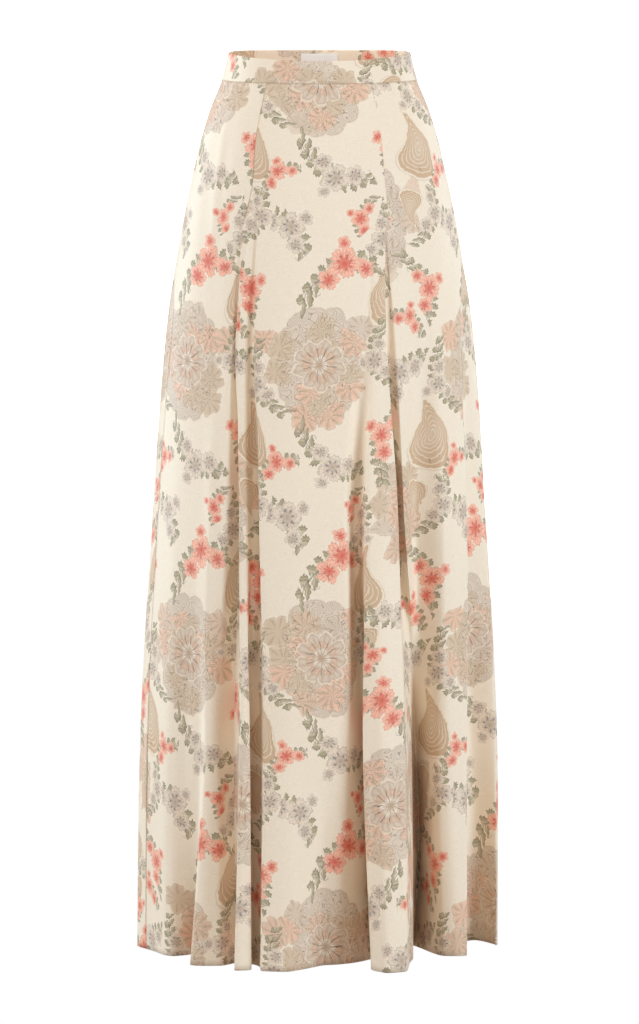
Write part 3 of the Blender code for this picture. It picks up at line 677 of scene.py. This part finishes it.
def feed(tree, socket, value):
    """Set a socket to a number or colour, or link it to a Value or another socket."""
    if isinstance(value, Value):
        value = value.socket
    if isinstance(value, bpy.types.NodeSocket):
        tree.links.new(value, socket)
    else:
        socket.default_value = value


def new_node(tree, kind, inputs=None, **settings):
    """A shader node with its settings, and its inputs by name or number."""
    made = tree.nodes.new("ShaderNode" + kind)
    for name, value in settings.items():
        setattr(made, name, value)
    for name, value in (inputs or {}).items():
        feed(tree, made.inputs[name], value)
    return made


def math_node(tree, operation, *values):
    return Value(tree, new_node(tree, "Math", dict(enumerate(values)), operation=operation).outputs[0])


def mixed(tree, first, second, amount):
    """From the first number to the second, as the amount goes from 0 to 1."""
    return Value(tree, new_node(tree, "Mix", {0: amount, 2: first, 3: second}).outputs[0])


def paint(tree, under, over, amount):
    """One colour laid over another; each is a fixed colour or a socket."""
    return new_node(tree, "Mix", {0: amount, 6: under, 7: over}, data_type="RGBA").outputs[2]


def soft(value, width=0.45 * MM):
    """Above a half where the value is above zero, not yet limited to 0 and 1."""
    return value.fused(0.5 / width, 0.5)


def limited(value, start=0.0, end=1.0):
    """The value held between 0 and 1, then spread from start to end."""
    return mixed(value.tree, start, end, value)


def ramp(value, low, high, start=0.0, end=1.0):
    return limited(value.fused(1 / (high - low), -low / (high - low)), start, end)


def all_of(first, *others):
    """Where every one of the masks is on."""
    for other in others:
        first = first.op("MINIMUM", other)
    return first


def split(tree, vector, kind="SeparateXYZ"):
    """The first two parts of a vector, or of a colour where the kind is SeparateColor."""
    made = new_node(tree, kind, {0: vector})
    return Value(tree, made.outputs[0]), Value(tree, made.outputs[1])


def fine_noise(tree, vector, scale, detail=1.0):
    """The outputs of a noise over the flat cloth, a number and then a colour."""
    inputs = {"Vector": vector, "Scale": scale, "Detail": detail}
    return new_node(tree, "TexNoise", inputs, noise_dimensions="2D").outputs


def grain(tree, vector, across, along):
    """A noise drawn out into threads, with so many to a metre each way."""
    drawn_out = new_node(tree, "Mapping", {"Vector": vector, "Scale": (across, along, 1.0)}).outputs[0]
    return Value(tree, fine_noise(tree, drawn_out, 1.0, 2.0)[0])


def polar(x, y):
    radius = (x * x + y * y).op("SQRT")
    return radius, y.op("ARCTAN2", x)


# The print: a generic all-over pattern of blossoms, leaves and paisleys, worked out by nodes.
# Its nodes are made in the order in which the layers are painted, and the layers have no Map
# Range, clamped Math or vector nodes: otherwise Cycles holds too many values at a time.


STUDIO_LIGHT = (0.85, 0.92, 1.0)
LAMP_LIGHT = (0.73, 0.93, 1.11)
ROOM_LIGHT = (1.12, 0.89, 0.71)


def linear(red, green, blue):
    """A colour given as it shows on a screen in the studio's light, from 0 to 255."""
    parts = [value / 255 for value in (red, green, blue)]
    parts = [p / 12.92 if p <= 0.04045 else ((p + 0.055) / 1.055) ** 2.4 for p in parts]
    return tuple(0.9 * part / light for part, light in zip(parts, STUDIO_LIGHT)) + (1.0,)


GROUND = linear(243, 234, 218)
GROUND_SHADE = linear(237, 227, 209)
TAUPE = linear(215, 197, 174)
TAUPE_DEEP = linear(190, 162, 136)
TAUPE_BROWN = linear(207, 180, 150)
TAUPE_ROSE = linear(226, 196, 173)
GREIGE = linear(219, 205, 189)
GREIGE_DEEP = linear(186, 167, 150)
GREIGE_PALE = linear(234, 221, 204)
PALE_LINE = linear(243, 235, 220)
CORAL = linear(237, 146, 126)
CORAL_DEEP = linear(210, 102, 90)
CORAL_PALE = linear(248, 202, 180)
HEART_GREY = linear(142, 138, 138)
SAGE = linear(150, 144, 118)
SAGE_DEEP = linear(92, 88, 70)
SAGE_PALE = linear(204, 194, 168)
INK = linear(96, 92, 88)
THREAD_SHADE = linear(196, 182, 158)
LABEL_WHITE = (0.96, 0.94, 0.90, 1.0)
LABEL_THREAD = linear(240, 238, 230)
TAPE_CREAM = linear(232, 224, 206)
COIL_CREAM = linear(236, 229, 212)
ENAMEL = linear(228, 220, 202)
ENAMEL_SHADE = linear(218, 208, 188)
BARE_METAL = linear(196, 190, 178)

# Metres on the flat cloth: the half-drop repeat, and the first place of each row of motifs in it
REPEAT = (0.166, 0.345)
BOUQUETS_AT = (0.0, 0.004)
PAISLEYS_AT = (0.083, 0.086)
SPRAYS_AT = (0.0, 0.176)
SPRAYS_BETWEEN_AT = (0.083, -0.086)
WARPS = ((34.0, 8 * MM), (210.0, 2.6 * MM))  # scale and reach of the noises that bend the outlines
PACKED_LEAF = 30 * MM
OPEN_FLOWER = 31 * MM
SPRAY_LEAF = 18.5 * MM
SPRAY_STEM = 55 * MM
SPRAY_PAIRS = 5
FLOURISH = 7.5 * MM

# A motif's place from its row's, its turn in degrees, its size, and its kind: 0 coral, 1 greige
Motif = namedtuple("Motif", "place degrees size kind")
PAISLEYS = (Motif((0.0, 0.006), 18, 0.038, 0), Motif((0.026, -0.066), 200, 0.020, 0))
SPRAYS = (
    Motif((0.028, -0.052), 18, 1.10, 0.0),
    Motif((-0.036, -0.006), -42, 1.00, 1.0),
    Motif((0.020, 0.052), 158, 1.00, 1.0),
    Motif((-0.050, 0.058), 30, 0.66, 0.0),
    Motif((0.050, 0.002), 80, 0.62, 0.0),
)
SPRAYS_BETWEEN = (
    Motif((0.004, 0.006), 75, 0.90, 0.0),
    Motif((-0.006, -0.104), 250, 0.82, 1.0),
    Motif((-0.012, 0.094), 110, 0.80, 1.0),
)
SPRAY_BLOSSOMS = (
    Motif((0.002, 0.001), 0, 0.0175, 0),
    Motif((0.022, -0.012), 40, 0.0110, 0),
    Motif((-0.019, -0.011), 80, 0.0130, 0),
    Motif((0.008, 0.021), 10, 0.0085, 0),
)


def lattice(u, v, at):
    """A half-drop repeat: the distance from the nearest motif's centre, mirrored in odd columns."""
    a = (u - at[0]) / REPEAT[0]
    column = a.op("ROUND")
    odd = column.op("FLOORED_MODULO", 2.0)
    x = (a - column) * odd.fused(-2.0 * REPEAT[0], REPEAT[0])
    b = v.fused(1 / REPEAT[1], -at[1] / REPEAT[1]) + odd * 0.5
    return x, (b - b.op("ROUND")) * REPEAT[1]


def frame_of(x, y, place, degrees, size):
    """The same point as a motif sees it: from its own place, turned and sized with it."""
    cosine, sine = math.cos(math.radians(degrees)) / size, math.sin(math.radians(degrees)) / size
    across = x.fused(cosine, y.fused(sine, -place[0] * cosine - place[1] * sine))
    up = y.fused(cosine, x.fused(-sine, place[0] * sine - place[1] * cosine))
    return across, up


def nearest_of(tree, motifs):
    """The frame of the nearest of a few motifs, each with its row's x and y, and its kind."""
    best = None
    kinds = {motif.kind for _, motif in motifs}
    for (x, y), motif in motifs:
        px, py = frame_of(x, y, motif.place, motif.degrees, motif.size)
        far = px.fused(px, py * py)
        if best is None:
            best, bx, by, kind = far, px, py, motif.kind
            continue
        closer = far.op("LESS_THAN", best)
        bx, by = mixed(tree, bx, px, closer), mixed(tree, by, py, closer)
        if len(kinds) > 1:
            kind = mixed(tree, kind, motif.kind, closer)
        best = best.op("MINIMUM", far)
    return bx, by, kind


def scallops(angle, petals, phase):
    """Rounded petals with a sharp notch between them, from 0 in a notch to 1."""
    return (angle * (petals / 2) + phase).op("COSINE").op("ABSOLUTE").op("SQRT")


def blossom(tree, colour, x, y, rings, fringe, line):
    """Rings of fringed petals on a flower one unit in radius, the outer first, each in a drawn line."""
    far, angle = polar(x, y)
    streak = (angle * 21.0 + far * 5.0).op("SINE")
    for share, petals, phase, inner, outer in rings:
        lobe = scallops(angle, petals, phase)
        edge = streak.fused(fringe * share, lobe.fused(0.36 * share, 0.62 * share))
        depth = edge - far
        tone = paint(tree, inner, outer, streak.fused(-0.30, ramp(far / edge, 0.15, 0.95)))
        if share == rings[0][0]:
            colour = paint(tree, colour, GROUND, limited(soft(depth + 0.07, 0.04), 0.0, 0.7))
        colour = paint(tree, colour, tone, soft(depth, 0.03))
        rim = soft(0.022 - (depth - 0.03).op("ABSOLUTE"), 0.03)
        fold = all_of(lobe.fused(-3.0, 0.9), far.fused(3.0 / share, -1.0), depth * 30.0)
        colour = paint(tree, colour, line, limited(rim.op("MAXIMUM", fold), 0.0, 0.6))
    return colour


def draw_bouquets(tree, colour, u, v, place, lines):
    """Scalloped leaves packed side by side over a soft mass; also each bouquet's own x and y."""
    cells = [
        new_node(tree, "TexVoronoi", {"Scale": 1 / PACKED_LEAF, "Randomness": 0.75, "Vector": place},
                 voronoi_dimensions="2D", feature=feature).outputs
        for feature in ("F1", "DISTANCE_TO_EDGE")
    ]
    centre_u, centre_v = split(tree, cells[0]["Position"])
    chance, other = split(tree, cells[0]["Color"], "SeparateColor")
    far, angle = polar(u - centre_u, v - centre_v)
    lobe = scallops(angle + chance * 6.0, 7.0, 0.0) + (angle * 17.0).op("COSINE") * 0.07
    border = Value(tree, cells[1]["Distance"]).fused(PACKED_LEAF, -0.3 * MM)
    depth = (lobe.fused(0.22 * PACKED_LEAF, 0.44 * PACKED_LEAF) - far).op("MINIMUM", border)
    hub, turn = polar(*lattice(centre_u, centre_v, BOUQUETS_AT))
    spread = (turn * 2.0).op("COSINE").fused(0.006, 0.066) + (turn * 3.0).op("SINE") * 0.008
    kept = (spread - hub) * 400.0
    tone = paint(tree, TAUPE, GREIGE, ramp(chance, 0.62, 0.75))
    tone = paint(tree, tone, TAUPE_ROSE, ramp(other, 0.5, 0.7, 0.0, 0.9))
    veins = (angle * 9.0 + chance * 6.0).op("SINE")
    tone = paint(tree, tone, CORAL_PALE, ramp(veins, -0.55, -1.0, 0.0, 0.7) * ramp(other, 0.4, 0.8))
    tone = paint(tree, tone, TAUPE_DEEP, ramp(veins, 0.45, 1.0, 0.0, 0.6) * ramp(far, 0.002, 0.008))
    # The depth's tiny share keeps the layers below in order behind the leaves
    x, y = lattice(u + depth * 1e-6, v, BOUQUETS_AT)
    hub, turn = polar(x, y)
    body = (turn * 2.0).op("COSINE").fused(-0.010, 0.056) + scallops(turn, 15.0, 0.0) * 0.006 - hub
    colour = paint(tree, colour, GREIGE, limited(soft(body, 1.2 * MM), 0.0, 0.85))
    outline = soft(0.3 * MM - (body - 1.4 * MM).op("ABSOLUTE"), 0.4 * MM)
    colour = paint(tree, colour, GREIGE_DEEP, limited(outline, 0.0, 0.7))
    colour = paint(tree, colour, TAUPE_DEEP, limited(all_of(soft(depth + 0.8 * MM), kept), 0.0, 0.45))
    colour = paint(tree, colour, tone, all_of(soft(depth), kept))
    rim = soft(0.35 * MM - (depth - 1.6 * MM).op("ABSOLUTE"), 0.4 * MM)
    colour = paint(tree, colour, PALE_LINE, limited(all_of(rim, kept), 0.0, 0.5))
    threads = all_of(lines.fused(7.0, -5.7), soft(body - 2 * MM))
    return paint(tree, colour, INK, limited(threads, 0.0, 0.5)), x, y


def draw_open_flower(tree, colour, x, y):
    """The open flower in the middle of each bouquet, with inked stamens."""
    colour = blossom(tree, colour, x, y, (
        (1.0, 9, 0.4, TAUPE_DEEP, GREIGE),
        (0.70, 7, 1.1, GREIGE_DEEP, TAUPE_ROSE),
        (0.40, 5, 0.2, TAUPE_DEEP, PALE_LINE),
    ), 0.02, GREIGE_DEEP)
    far, angle = polar(x, y)
    spikes = 0.24 - (angle * 5.5).op("SINE").op("ABSOLUTE")
    return paint(tree, colour, INK, limited(all_of(spikes * 5.0, soft(0.62 - far, 0.10)), 0.0, 0.9))


def draw_paisleys(tree, colour, u, v):
    """Curled drops with pale lines nested inside them, between the columns of bouquets."""
    row = lattice(u, v, PAISLEYS_AT)
    x, y, _ = nearest_of(tree, [(row, motif) for motif in PAISLEYS])
    bent = y.op("MAXIMUM", 0.0)
    x = x - bent * bent * 0.62
    across = x * y.fused(0.9, 0.0).op("EXPONENT") * 1.75
    level = across.fused(across, y * y).op("SQRT")
    edge = 1.0 - level
    wave = (level * (2 * math.pi * 7)).op("COSINE")
    tone = paint(tree, TAUPE, TAUPE_BROWN, ramp(level, 0.1, 0.9))
    tone = paint(tree, tone, PALE_LINE, ramp(wave, 0.55, 0.98, 0.0, 0.65))
    colour = paint(tree, colour, TAUPE, soft(edge + 0.07, 0.02))
    colour = paint(tree, colour, PALE_LINE, soft(edge + 0.045, 0.02))
    return paint(tree, colour, tone, soft(edge, 0.02))


def spray_leaves(x, y):
    """How deep inside a leaf: pairs of leaves along a bent stem that runs both ways from x = 0."""
    x = x.op("ABSOLUTE")
    y = y - x * x * -9.0
    spacing = SPRAY_STEM / SPRAY_PAIRS
    number = (x / spacing).op("ROUND").op("MAXIMUM", 1.0).op("MINIMUM", float(SPRAY_PAIRS))
    size = number.fused(-0.40 / SPRAY_PAIRS, 1.15)
    lx, ly = frame_of(x - number * spacing, y.op("ABSOLUTE"), (-0.35 * spacing, 0.0), 48, 1.0)
    along = (lx / size).fused(2 / SPRAY_LEAF, -1.0)
    half = (along * along).fused(-0.25 * SPRAY_LEAF, 0.25 * SPRAY_LEAF) * size
    teeth = (lx * (2 * math.pi / (0.22 * SPRAY_LEAF))).op("COSINE").fused(0.20, 1.0)
    away = ly.op("ABSOLUTE")
    stem = (0.35 * MM - y.op("ABSOLUTE")).op("MINIMUM", SPRAY_STEM - x)
    return half * teeth - away, away, ly, stem


def draw_sprays(tree, colour, u, v):
    """Sprays with leaves on both sides, four blossoms each in coral or greige, and a flourish."""
    row = lattice(u, v, SPRAYS_AT)
    between = lattice(u, v, SPRAYS_BETWEEN_AT)
    motifs = [(row, motif) for motif in SPRAYS] + [(between, motif) for motif in SPRAYS_BETWEEN]
    x, y, kind = nearest_of(tree, motifs)
    inside, away, side, stem = spray_leaves(x, y)
    green = paint(tree, SAGE_PALE, SAGE, side.fused(160.0, 0.3))
    green = paint(tree, green, SAGE_DEEP, soft(0.55 * MM - inside, 0.40 * MM))
    colour = paint(tree, colour, green, soft(inside.op("MAXIMUM", stem)))
    vein = all_of(soft(0.25 * MM - away, 0.35 * MM), soft(inside))
    colour = paint(tree, colour, SAGE_DEEP, limited(vein, 0.0, 0.7))
    px, py, _ = nearest_of(tree, [((x, y), motif) for motif in SPRAY_BLOSSOMS])
    deep = paint(tree, CORAL_DEEP, GREIGE_DEEP, kind)
    full = paint(tree, CORAL, GREIGE, kind)
    pale = paint(tree, CORAL_PALE, GREIGE_PALE, kind)
    line = paint(tree, CORAL_DEEP, HEART_GREY, kind)
    colour = blossom(tree, colour, px, py, (
        (1.0, 5, 0.9, full, pale),
        (0.70, 6, 0.2, deep, pale),
        (0.36, 4, 0.6, deep, full),
    ), 0.05, line)
    far, angle = polar(px, py)
    dots = all_of(0.10 - (far - 0.42).op("ABSOLUTE"), (angle * 7.0).op("COSINE").fused(0.2, -0.08))
    colour = paint(tree, colour, line, limited(soft(dots, 0.05), 0.0, 0.9))
    far, angle = polar(x.op("ABSOLUTE") - 0.034, y + 0.020)
    curl = soft(0.3 * MM - (far - angle.fused(1.6 * MM, FLOURISH)).op("ABSOLUTE"), 0.4 * MM)
    return paint(tree, colour, INK, limited(all_of(curl, soft(angle + 2.0, 0.2)), 0.0, 0.6))


def draw_print(tree, vector):
    """The printed colour at each place on the flat cloth."""
    u, v = split(tree, vector)
    for scale, reach in WARPS:
        red, green = split(tree, fine_noise(tree, vector, scale)["Color"], "SeparateColor")
        u = red.fused(reach, -0.5 * reach) + u
        v = green.fused(reach, -0.5 * reach) + v
    place = new_node(tree, "CombineXYZ", {0: u, 1: v}).outputs[0]
    swirl = Value(tree, fine_noise(tree, vector, 52.0, 1.5)[0])
    lines = (swirl * 75.0).op("SINE")
    colour = paint(tree, GROUND, GROUND_SHADE, lines.fused(0.35, 0.35))
    colour, x, y = draw_bouquets(tree, colour, u, v, place, lines)
    colour = draw_open_flower(tree, colour, x / OPEN_FLOWER, y / OPEN_FLOWER)
    colour = draw_paisleys(tree, colour, u, v)
    return draw_sprays(tree, colour, u, v)


def print_group():
    """The print as one node group: the place on the flat cloth in, the printed colour out."""
    group = bpy.data.node_groups.new("floral_print", "ShaderNodeTree")
    group.interface.new_socket("Cut", in_out="INPUT", socket_type="NodeSocketVector")
    group.interface.new_socket("Colour", in_out="OUTPUT", socket_type="NodeSocketColor")
    entry = group.nodes.new("NodeGroupInput")
    leave = group.nodes.new("NodeGroupOutput")
    group.links.new(draw_print(group, entry.outputs[0]), leave.inputs[0])
    return group


# Materials


def new_material(name):
    material = bpy.data.materials.new(name)
    material.use_nodes = True
    return material, material.node_tree


def finish_shader(tree, values):
    """Set or link the shader's inputs by name."""
    shader = tree.nodes["Principled BSDF"]
    for name, value in values.items():
        feed(tree, shader.inputs[name], value)


def bump(tree, height, distance, strength=1.0):
    return new_node(tree, "Bump", {"Distance": distance, "Strength": strength, "Height": height}).outputs[0]


def shaded(colour, share):
    return tuple(part * share for part in colour[:3]) + (1.0,)


def cloth_material(name, group, faded):
    """Thin, dull-lustrous cloth: the print, threads that thicken and thin, and a fine weave."""
    material, tree = new_material(name)
    vector = new_node(tree, "UVMap", uv_map="cut").outputs[0]
    printed = new_node(tree, "Group", node_tree=group)
    tree.links.new(vector, printed.inputs[0])
    threads = grain(tree, vector, 1500.0, 90.0) + grain(tree, vector, 70.0, 1300.0)
    colour = paint(tree, printed.outputs[0], GROUND, faded)
    finish_shader(tree, {
        "Base Color": paint(tree, colour, THREAD_SHADE, ramp(threads, 0.75, 1.3, 0.07, 0.0)),
        "Roughness": ramp(threads, 0.7, 1.3, 0.66, 0.50),
        "Sheen Weight": 0.12,
        "Sheen Roughness": 0.42,
        "Sheen Tint": (1.0, 0.96, 0.90, 1.0),
        "Specular IOR Level": 0.25,
        "Normal": bump(tree, threads, 0.06 * MM, 0.5),
    })
    return material


def satin_material(name, colour, pitch):
    """A narrow woven tape: fine ribs across it, with a soft lustre."""
    material, tree = new_material(name)
    vector = new_node(tree, "UVMap", uv_map="cut").outputs[0]
    u, v = split(tree, vector)
    ribs = (v * (2 * math.pi / pitch)).op("SINE") * (u * (math.pi / pitch)).op("SINE")
    slub = grain(tree, vector, 900.0, 5000.0)
    height = slub + ribs * 0.4
    finish_shader(tree, {
        # Painted shade: the colour is darker where the ribs are low, in their valleys; the slubs add their
        # own random tone
        "Base Color": paint(tree, shaded(colour, 0.88), colour, ramp(height, 0.1, 0.8)),
        "Roughness": ramp(slub, 0.3, 0.7, 0.36, 0.55),
        "Sheen Weight": 0.15,
        "Normal": bump(tree, height, 0.06 * MM, 0.7),
    })
    return material


def thread_material(name, colour, pitch):
    """Twisted sewing thread, or a nylon coil where the pitch is long."""
    material, tree = new_material(name)
    place = new_node(tree, "TexCoord").outputs["Object"]
    twist = new_node(tree, "TexWave", {"Scale": 1 / pitch, "Distortion": 2.0, "Vector": place},
                     wave_type="BANDS", bands_direction="DIAGONAL")
    height = Value(tree, twist.outputs["Fac"])
    finish_shader(tree, {
        # Painted shade: the colour is darker in the low bands of the twist, in its grooves and between the
        # coil's turns
        "Base Color": paint(tree, shaded(colour, 0.82), colour, height),
        "Roughness": 0.5,
        "Sheen Weight": 0.2,
        "Normal": bump(tree, height, 0.05 * MM),
    })
    return material


def enamel_material(name):
    """Cream enamel on cast metal, rubbed through to bare metal in a few spots."""
    material, tree = new_material(name)
    place = new_node(tree, "TexCoord").outputs["Object"]
    spots = new_node(tree, "TexNoise", {"Scale": 420.0, "Detail": 3.0, "Vector": place})
    mottle = Value(tree, spots.outputs[0])
    worn = ramp(mottle, 0.66, 0.72)
    colour = paint(tree, ENAMEL, ENAMEL_SHADE, ramp(mottle, 0.35, 0.6))
    finish_shader(tree, {
        "Base Color": paint(tree, colour, BARE_METAL, worn),
        "Metallic": worn,
        "Roughness": ramp(mottle, 0.3, 0.7, 0.24, 0.42),
        "Coat Weight": 0.3,
        "Normal": bump(tree, mottle, 0.05 * MM, 0.4),
    })
    return material


def dress_nodes(names, material):
    """Give carried-over CAD nodes the scene's own material."""
    for name in names:
        for slot in bpy.data.objects[name].material_slots:
            slot.material = material


# The stage, the lights and the camera


Lamp = namedtuple("Lamp", "name place aim size watts colour")
LAMPS = (
    Lamp("key", (-2.9, -1.7, 0.3), (0, 0, -0.65), (1.6, 2.4), 59, LAMP_LIGHT),
    Lamp("fill", (2.9, -1.8, -0.15), (0, 0, -0.7), (1.6, 2.4), 77, LAMP_LIGHT),
    Lamp("front", (-0.4, -3.0, 2.1), (0, 0, -0.3), (1.8, 1.2), 22, LAMP_LIGHT),
    Lamp("back_key", (-3.0, 1.7, 0.5), (0, 0, -0.6), (1.2, 2.2), 68, LAMP_LIGHT),
    Lamp("back_fill", (2.4, 2.4, 0.5), (0, 0, -0.6), (1.3, 2.2), 30, LAMP_LIGHT),
    # Stands for the light that comes through the thin cloth to the waistband's inside
    Lamp("through_cloth", (0, -0.055, -0.045), (0, 0.08, 0.012), (0.14, 0.03), 0.05, ROOM_LIGHT),
)
FRAME_HEIGHT = 1024  # pixels
FOCAL_LENGTH = 3280  # pixels
SENSOR = 36  # millimetres
CAMERA_PLACE = (0, -4.0, -0.317)
CAMERA_TIP = 3.18  # degrees down


def make_stage():
    """A plain white floor that rises into a dome all round, and throws no light on the skirt."""
    floor, radius, corner, top = -1.30, 11.0, 3.0, 9.0
    profile = [(radius - corner, floor)]
    for turn in np.linspace(0, math.pi / 2, 10)[1:]:
        profile.append((radius - corner + corner * math.sin(turn), floor + corner * (1 - math.cos(turn))))
    for turn in np.linspace(0, math.pi / 2, 12)[1:-1]:
        profile.append((radius * math.cos(turn), floor + corner + (top - corner) * math.sin(turn)))
    sides = 48
    points = []
    for away, height in profile:
        points += circle(Vector((0, 0, height)), Vector((1, 0, 0)), Vector((0, 1, 0)), away, sides)
    white, tree = new_material("stage_white")
    finish_shader(tree, {
        "Base Color": (0.93, 0.93, 0.93, 1.0),
        "Roughness": 0.9,
        "Emission Color": (1, 1, 1, 1),
        "Emission Strength": 1.0,
    })
    faces = tube_faces(0, len(profile), sides)
    faces[-2:] = [face[::-1] for face in faces[-2:]]  # the two ends face inwards
    stage = new_mesh("floor", points, faces, [white])
    stage.visible_diffuse = False
    stage.visible_glossy = False
    stage.visible_shadow = False


def make_room():
    """A dim warm room, darker below."""
    world = bpy.data.worlds.new("studio")
    world.use_nodes = True
    tree = world.node_tree
    way = new_node(tree, "TexCoord").outputs["Generated"]
    height = Value(tree, new_node(tree, "SeparateXYZ", {0: way}).outputs[2])
    glow = paint(tree, shaded(ROOM_LIGHT, 0.20), shaded(ROOM_LIGHT, 0.58), ramp(height, -0.7, 0.9))
    tree.links.new(glow, tree.nodes["Background"].inputs[0])
    bpy.context.scene.world = world


def add_lamp(lamp):
    light = bpy.data.lights.new(lamp.name, "AREA")
    light.shape = "RECTANGLE"
    light.size, light.size_y = lamp.size
    light.energy = lamp.watts
    light.color = lamp.colour
    made = bpy.data.objects.new(lamp.name, light)
    made.location = lamp.place
    made.rotation_euler = (Vector(lamp.aim) - Vector(lamp.place)).to_track_quat("-Z", "Y").to_euler()
    made.visible_camera = False
    bpy.context.scene.collection.objects.link(made)


def make_camera():
    """Level with the thighs, 4 m in front, tipped down a little."""
    camera = bpy.data.cameras.new("camera")
    camera.sensor_width = SENSOR
    camera.lens = FOCAL_LENGTH / FRAME_HEIGHT * SENSOR
    made = bpy.data.objects.new("camera", camera)
    made.location = CAMERA_PLACE
    made.rotation_euler = (math.radians(90 - CAMERA_TIP), 0, 0)
    bpy.context.scene.collection.objects.link(made)
    bpy.context.scene.camera = made
    bpy.context.scene.view_settings.view_transform = "Standard"


make_camera()
make_room()
for each_lamp in LAMPS:
    add_lamp(each_lamp)
make_stage()

floral = print_group()
cloth_face = cloth_material("printed_cloth_face", floral, faded=0.0)
cloth_back = cloth_material("printed_cloth_reverse", floral, faded=0.55)
label_cloth = satin_material("label_satin", LABEL_WHITE, 0.7 * MM)
label_thread = thread_material("label_thread", LABEL_THREAD, 0.5 * MM)
tape_cloth = satin_material("zip_tape_weave", TAPE_CREAM, 0.9 * MM)
coil_nylon = thread_material("zip_coil_nylon", COIL_CREAM, 1.5 * MM)
dress_nodes(("zip_slider", "zip_pull"), enamel_material("zip_enamel"))

front_cloth = Cloth(FRONT_FOLDS, FRONT_ZONES, FRONT_CREASES, columns=262, rows=158)
back_cloth = Cloth(BACK_FOLDS, BACK_ZONES, BACK_CREASES, columns=215, rows=150)
skirt_front = make_cloth("front_panel", front_cloth, "skirt_front", [cloth_face, cloth_back])
skirt_back = make_cloth("back_panel", back_cloth, "skirt_back", [cloth_face, cloth_back])
band_front = make_band("waistband_face_front", SIDE_LEFT.azimuth[0] + SEAM_SPLIT,
                       SIDE_RIGHT.azimuth[0] - ZIP_SPLIT, "waistband_front", [cloth_face], 0.02)
band_back = make_band("waistband_face_back", SIDE_RIGHT.azimuth[0] + ZIP_SPLIT,
                      SIDE_LEFT_AGAIN.azimuth[0] - SEAM_SPLIT, "waistband_back", [cloth_face], 0.31)
label = make_label(label_cloth, label_thread)
front_tape, front_edge = make_tape("zip_tape_weave_front", front_cloth, 1, "zip_tape_front", tape_cloth)
back_tape, back_edge = make_tape("zip_tape_weave_back", back_cloth, 0, "zip_tape_back", tape_cloth)
make_coil(front_edge, back_edge, coil_nylon)
